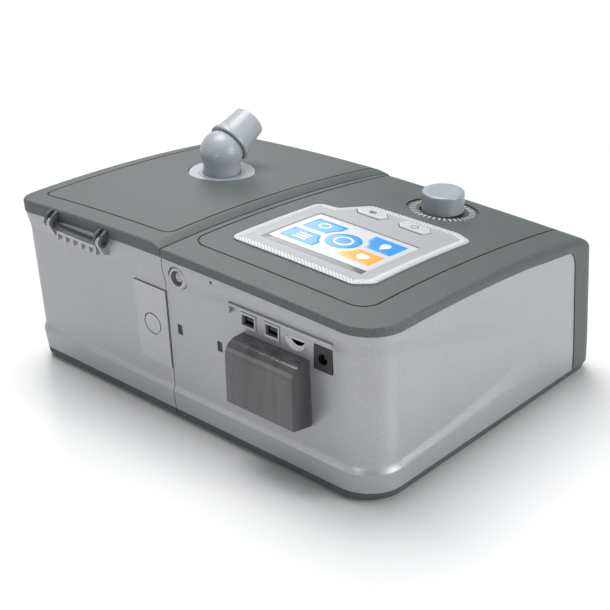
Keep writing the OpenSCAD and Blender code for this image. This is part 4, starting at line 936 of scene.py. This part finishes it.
def screen_face():
    """The screen: a pale sheet under the glass with a grey bar, a round button and four tiles round it."""
    middle, bite, glass = np.array([84.7, -72.5]), 14.2, 0.46
    blue, orange, grey, white = 1, 2, 3, 4
    s = roof_plate(Shell(), dense(screen_loop(-0.02), 4.0), -0.6, glass, 0.2, fill=10)
    lay = lambda loop, mark, lift=0.05: roof_plate(s, dense(loop, 3.0), 0.4, glass + lift, 0.05, mark, fill=4)
    lay(box_loop(47.9, 122.5, -49.0, -43.5), grey)
    lay(tile_loop(95, 118, -90, -73.6, middle, bite), blue)
    lay(tile_loop(93, 119, -69.0, -54.0, middle, bite), blue)
    lay(tile_loop(52, 76, -92, -74.0, middle, bite), blue)
    lay(tile_loop(52, 76, -70.0, -55.0, middle, bite), orange)
    lay(circle(middle, 11.2, 64), blue)
    for c, r, width in ((middle, 6.2, 1.3), ((107.5, -82.5), 4.0, 1.0)):
        s.band(circle(c, r, 48), circle(c, r - width, 48), 0.4, glass + 0.1, white)
    for k in range(3):
        lay(box_loop(102.0, 111.5, -65.2 + 3.1 * k, -63.7 + 3.1 * k, 0.6), white, 0.1)
    drop = np.concatenate([arc(62.5, -84.3, 3.1, -200, 20, 20), [[62.5, -77.6]]])
    house = np.array([[58.6, -65.6], [66.4, -65.6], [66.4, -61.8], [62.5, -58.6], [58.6, -61.8]])
    lay(drop, white, 0.1)
    lay(house, white, 0.1)
    looks = ["screen", "tile_blue", "tile_orange", "tile_grey", "mark_white"]
    finish_piece(s.make("screen_face"), "main", "screen", ["screen_glass"], looks)


def key_cap(node, x):
    """A white key with a softly rounded rim, and a raised plain mark on it: a ring, or a house."""
    top, mark_top = 1.8, 1.86
    s = roof_plate(Shell(), dense(key_loop(x), 1.0), -2.0, top, 0.55)
    if x < SCREEN[0]:
        s.band(circle((x, KEY_Y), 2.6, 32), circle((x, KEY_Y), 1.9, 32), top - 0.1, mark_top, 1)
    else:
        house = np.array([[-2.6, -2.2], [2.6, -2.2], [2.6, 0.5], [0, 2.8], [-2.6, 0.5]]) + [x, KEY_Y]
        roof_plate(s, house, top - 0.1, mark_top, 0.05, 1, fill=2)
    finish_piece(s.make(node + "_cap"), node, "key_white", [node], ["key_white", "tile_grey"])


def knob_piece():
    """The turned knob: straight flank, a wide soft shoulder, and a faintly hollow top."""
    r, z0, z1, hollow_r = KNOB_R, 106.9, 119.6, 9.0
    shoulder = arc(r - 1.5, z1 - 1.4, 1.4, 0, 90, 10)
    hollow = [[k, z1 - 0.35 * (1 - (k / hollow_r) ** 2)] for k in np.linspace(hollow_r, 0.0, 8)]
    foot = [[3.2, z0 + 8], [3.2, z0], [r - 0.5, z0], [r - 0.1, z0 + 0.4]]
    profile = np.concatenate([foot, shoulder, hollow])
    finish_piece(turned(profile, (*KNOB, 0), steps=128, name="knob_cap"), "knob", "knob_grey", ["knob"])


def tick_marks():
    """White marks in the shallow ring round the knob: one small bar turned about the knob's middle."""
    mark = box_loop(16.9, 20.9, -0.62, 0.62, 0.25)
    s = Shell()
    for a in 2 * math.pi * np.arange(TICKS) / TICKS:
        loop = mark @ np.array([[math.cos(a), math.sin(a)], [-math.sin(a), math.cos(a)]]) + KNOB
        s.tube([on_roof(loop, lift - RING_DEPTH) for lift in (-0.1, 0.35)])
    finish_piece(s.make("tick_marks"), "main", "key_white", ["tick_ring"])


def port_trim():
    """Pale frames, dark linings and tongues of the two data ports, and the narrow ledge over them."""
    s = Shell()
    for x in PORT_XS:
        box = lambda half_x, half_z, r: box_about((x, PORT_Z), half_x, half_z, r)
        outer, rim, inner = box(5.8, 4.75, 0.5), box(5.0, 3.9, 0.4), box(4.5, 3.0, 0.3)
        rings = [(outer, -6.0), (outer, 4.3), (rim, 4.5), (inner, 3.9), (inner, 1.6), (inner, -5.0)]
        p = np.array([level(loop, y, "y") for loop, y in rings])
        s.grid(p[:5], around=True).grid(p[4:], around=True, mark=1).cap(p[0]).cap(p[-1], 1)
        s.tube([level(box(3.4, 0.8, 0.3), y, "y") for y in (-5.2, 1.5)], 2)
    ease = ((0.3, 3.0), (0.0, 6.2), (0.35, 6.6))
    for x0, x1, z0, z1 in ((26.9, 103.0, 97.5, 99.1), (101.6, 103.0, 92.5, 97.9)):
        s.tube([level(box_loop(x0 + k, x1 - k, z0 + k, z1 - k, 0.25), y, "y") for k, y in ease])
    looks = ["trim_silver", "black_plastic", "base_plastic"]
    finish_piece(s.make("port_trim"), "main", "black_plastic", ["data_ports"], looks)


def filter_outline(inset):
    """The filter cover from the side, set in: flat top, one wide roll, a leaning face, a rising underside."""
    corners = np.array([[1.6, 40.0], [17.4, 43.0], [18.2, 82.0], [1.6, 82.0]])
    c = corners + np.array([[0, 1], [-1, 1], [-1, -1], [0, -1]]) * inset
    return rounded(c, [0.1, 1.6 - inset * 0.5, 8.5 - inset, 0.1], 16)


def filter_parts():
    """The smoked filter cover with its inner ribs, and the framed foam behind it."""
    x0, x1 = FILTER_X
    wall = 1.6
    inside = lambda side, z0, z1, r: box_loop(x0 + side, x1 - side, z0, z1, r)
    obj = bar(filter_outline(0.0), x0, x1, "x", "filter_front")
    hollows = filter_outline(wall), box_loop(-2, 4, 41.6, 80.4)
    cut(obj, [bar(loop, x0 + wall, x1 - wall, "x") for loop in hollows])
    for x in np.linspace(x0, x1, 5)[1:-1]:
        rib = bar(filter_outline(0.8), x - 0.6, x + 0.6, "x", mark=1)
        cut(obj, [cut(rib, [bar(box_loop(x - 2, x + 2, -5, 8.5), 30, 90)])], "UNION")
    finish_piece(obj, "filter_cover", "smoked_plastic", ["filter_cover"], ["smoked_plastic", "smoked_rib"])
    holder = bar(inside(4.5, 45.3, 76.7, 0.6), -6.0, 0.4, "y", "filter_holder")
    cut(holder, [bar(inside(6.2, 47.0, 75.0, 0.6), -4.6, 2.0, "y")])
    finish_piece(holder, "main", "black_plastic", ["filter_frame"])
    pad = bar(inside(6.4, 47.2, 74.8, 0.5), -4.4, 0.6, "y", "filter_pad")
    finish_piece(pad, "main", "foam", ["filter_foam"])


# ---- Humidifier ----
def cover_lid():
    """The humidifier's dark lid, sloping up from the seam, with the outlet's round recess."""
    obj = cover_solid(HUM, "cover_lid")
    cut(obj, [boss(DISC, 24.4, True)], "UNION")
    cut(obj, [drill(22.4, 109.8, 140, (*DISC, 0)), drill(14.6, 60, 120, (*DISC, 0)),
              groove_tool(True, 84.0)])
    finish_piece(obj, "lid", "cover_plastic", ["humidifier_lid"], ["cover_plastic", "shadow_line"], 28)


def shell_humidifier():
    """The humidifier's silver shell, with the release button's notch and the air port."""
    obj = shell_solid(True, "shell_humidifier")
    cut(obj, [bar(box_loop(150, 183.1, -7, 30), 35.65, 88.35), drill(12.5, 0, 40, (140, *DUCT), SIDEWAYS)])
    finish_piece(obj, "humidifier", "shell_silver", ["humidifier_shell"], angle=20)


def knuckles():
    """Two hinge knuckles: a lug on the shell between two fins of the lid, all about one pin."""
    pin_r = 3.0
    lug = np.concatenate([[[3.0, 97.0], [9.2, 98.8]], arc(*HINGE, pin_r, -25, 165, 20), [[3.0, 104.0]]])
    fin = np.concatenate([[[5.4, 111.0], [7.7, 108.4]], arc(*HINGE, pin_r, 165, 370, 22),
                          [[12.1, 112.4], [8.4, 114.6], [5.4, 114.6]]])

    def plate(s, x0, x1, loop):
        """An outline carried along x, its first and last fifth of a millimetre eased in."""
        c = loop.mean(0)
        ends = ((x0, 0.96), (x0 + 0.2, 1.0), (x1 - 0.2, 1.0), (x1, 0.96))
        s.tube([level(c + (loop - c) * share, x, "x") for x, share in ends])

    lugs, fins = Shell(), Shell()
    for x in HINGE_XS:
        plate(lugs, x - 1.2, x + 1.2, lug)
        plate(fins, x - 3.5, x - 1.5, fin)
        plate(fins, x + 1.5, x + 3.5, fin)
    finish_piece(lugs.make("hinge_lugs"), "humidifier", "shell_silver", looks=["trim_silver"])
    finish_piece(fins.make("hinge_fins"), "lid", "cover_plastic")


def outlet_ring():
    """The pale outlet disc: a flat turned ring with a soft rim and a small step round the elbow."""
    top, bore, neck, seat = 112.924, 12.22, 14.35, 103.924
    foot = [[bore, seat], [neck, seat], [neck, top - 3.0], [22.2, top - 3.0]]
    step = [[15.4, top], [15.0, top + 0.35], [13.2, top + 0.35], [12.5, top + 0.1], [bore, top - 0.3]]
    profile = np.concatenate([foot, arc(21.4, top - 0.8, 0.8, 0, 90, 8), step, foot[:1]])
    obj = turned(profile, (*DISC, 0), steps=128, name="outlet_ring")
    finish_piece(obj, "lid", "disc_grey", ["outlet_disc"])


def elbow_piece():
    """The elbow: a foot that swells into a ball, with the air path bored through both."""
    foot = [[0, 104.224], [11.75, 104.224], [12.15, 104.7], [12.15, 117.6], [12.35, 119.8]]
    outside = np.concatenate([foot, arc(0, BALL[2], BALL_R, -24, 89.9, 40), [[0, BALL[2] + BALL_R]]])
    obj = turned(outside, (*DISC, 0), steps=112, name="elbow_body")
    cut(obj, [turned([[0, 0], [10.6, 0], [10.6, 14.5], [10.1, 15.0], [0, 15.0]], BALL, HOSE_AXIS)], "UNION")
    cut(obj, [drill(9, 100, 126.9, (*DISC, 0)), turned(arc(0, 0, 9.4, -90, 90, 30), BALL),
              drill(9, 0, 40, BALL, HOSE_AXIS)])
    finish_piece(obj, "elbow", "elbow_grey", ["elbow"], angle=40)


def hose_end():
    """The hose connector: a thin round ring over the ball, a long taper, and an open-mouthed barrel."""
    profile = np.concatenate([
        arc(13.9, 8.3, 0.5, -90, 0, 5), arc(13.7, 9.9, 0.7, 0, 80, 6),
        [[13.2, 10.9], [12.9, 11.6], [12.6, 15.0], [11.9, 20.0], [11.3, 25.0]],
        arc(10.5, 29.5, 0.5, 0, 90, 5), [[9.7, 30.0]], arc(9.7, 29.6, 0.4, 90, 180, 5),
        [[9.3, 15.3], [10.65, 15.3], [10.65, 9.5], [12.0, 7.8]]])
    obj = turned(np.concatenate([profile, profile[:1]]), BALL, HOSE_AXIS, steps=128, name="hose_end")
    finish_piece(obj, "hose_connector", "elbow_grey", ["hose_connector"], angle=40)


def bases():
    """The dark base trays under both units, and the humidifier's dark front."""
    finish_piece(tray_solid(MAIN, "base_main"), "main", "base_plastic", ["main_base"])
    finish_piece(tray_solid(HUM, "base_humidifier"), "humidifier", "base_plastic", ["humidifier_base"])
    front = front_solid("front_humidifier")
    cut(front, [groove_tool(True, 9.0)])
    looks = ["cover_plastic", "shadow_line"]
    finish_piece(front, "humidifier", "cover_plastic", ["humidifier_front"], looks, 28)


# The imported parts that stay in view, under the material that each one gets.
KEPT = {
    "black_plastic": "display_module key_switches encoder_body power_inlet blower_motor hinge_pin",
    "steel": "encoder_plunger encoder_shaft card_reader main_screws humidifier_screws",
    "circuit_board": "main_board",
    "card_plastic": "memory_card",
    "trim_silver": "accessory_socket hinge_comb release_button",
    "base_plastic": "muffler_box",
    "white_plastic": "blower_volute impeller",
    "soft_rubber": "blower_mount air_coupler main_feet lid_seal humidifier_feet",
    "plate_alloy": "heater_plate",
    "tank_clear": "water_tank tank_cover",
}


def keep_packed():
    """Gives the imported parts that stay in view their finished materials."""
    for look, nodes in KEPT.items():
        for node in nodes.split():
            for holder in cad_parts[node].material_slots:
                holder.material = MAT[look]


# ---- Studio ----
WHITE = (1, 1, 1, 1)
CAMERA_PLACE, CAMERA_LENS = (-0.53845, 0.6099, 0.4492), 83.49
CAMERA_TURN, CAMERA_LIFT = math.radians(41.4), math.radians(26.5)


def floor():
    """A pale floor that fades into the white background away from the machine."""
    rings = [level(circle((0, 0), r, 96), 0.0) for r in (1.0, 300.0, 800.0, 2000.0, 6000.0)]
    obj = in_metres(Shell().grid(np.array(rings) - ORIGIN, around=True).make("floor"))
    for face in obj.data.polygons:
        face.use_smooth = True
    p = Paint("floor_paper")
    x, y, grain = p.axis("X"), p.axis("Y"), p.noise(4.0, 2.0)
    away = (x * x + y * y) ** 0.5
    sheet = p.skin(Base_Color=p.around((0.76, 0.76, 0.76, 1.0), grain, 0.01), Roughness=0.32 + grain * 0.04)
    white = p.node("ShaderNodeEmission", None, {"Color": WHITE, "Strength": 1.0})
    obj.data.materials.append(p.done(p.blend(away.step(0.2, 0.55), sheet, white)))


def lamp(name, place, size, power):
    """A square soft white light aimed at the machine's middle."""
    data = bpy.data.lights.new(name, "AREA")
    data.shape, data.size, data.energy = "SQUARE", size, power
    obj = bpy.data.objects.new(name, data)
    obj.location = place
    obj.rotation_euler = (Vector((0, 0, 0.06)) - Vector(place)).to_track_quat("-Z", "Y").to_euler()
    bpy.context.scene.collection.objects.link(obj)


def surround():
    """White to the camera, and a dim cool grey to everything else."""
    p = Paint("surround", "worlds")
    seen = p.node("ShaderNodeLightPath", out="Is Camera Ray")
    glow = lambda colour, power: p.node("ShaderNodeBackground", None, {"Color": colour, "Strength": power})
    return p.done(p.blend(seen, glow((0.9, 0.93, 0.96, 1), 0.35), glow(WHITE, 1.0)), "World")


def studio():
    """Soft light from above and the end-wall side, a plain white surround, and the photograph's camera."""
    floor()
    lamp("top", (0.35, -0.1, 1.6), 1.0, 28.0)
    lamp("end_side", (-1.5, -0.35, 0.55), 0.8, 15.0)
    lamp("back_side", (0.7, 1.5, 0.5), 0.8, 3.1)
    lamp("far_side", (1.3, -1.1, 0.9), 0.8, 5.0)
    lamp("corner", (-0.4, 1.3, 0.06), 0.1, 1.8)
    scene = bpy.context.scene
    scene.world = surround()
    scene.view_settings.view_transform = "Standard"
    turn, lift = CAMERA_TURN, CAMERA_LIFT
    right = Vector((-math.cos(turn), -math.sin(turn), 0))
    ahead = Vector((math.sin(turn) * math.cos(lift), -math.cos(turn) * math.cos(lift), -math.sin(lift)))
    axes = Matrix((right, right.cross(ahead), -ahead)).transposed().to_4x4()
    camera = bpy.data.cameras.new("camera")
    camera.lens, camera.sensor_width = CAMERA_LENS, 36.0
    obj = bpy.data.objects.new("camera", camera)
    obj.matrix_world = Matrix.Translation(CAMERA_PLACE) @ axes
    scene.collection.objects.link(obj)
    scene.camera = obj


cover_main()
shell_main()
hatch_covers()
control_panel()
screen_face()
for node, x in zip(("key_left", "key_right"), KEY_XS):
    key_cap(node, x)
knob_piece()
tick_marks()
port_trim()
filter_parts()
cover_lid()
shell_humidifier()
knuckles()
outlet_ring()
elbow_piece()
hose_end()
bases()
keep_packed()
studio()
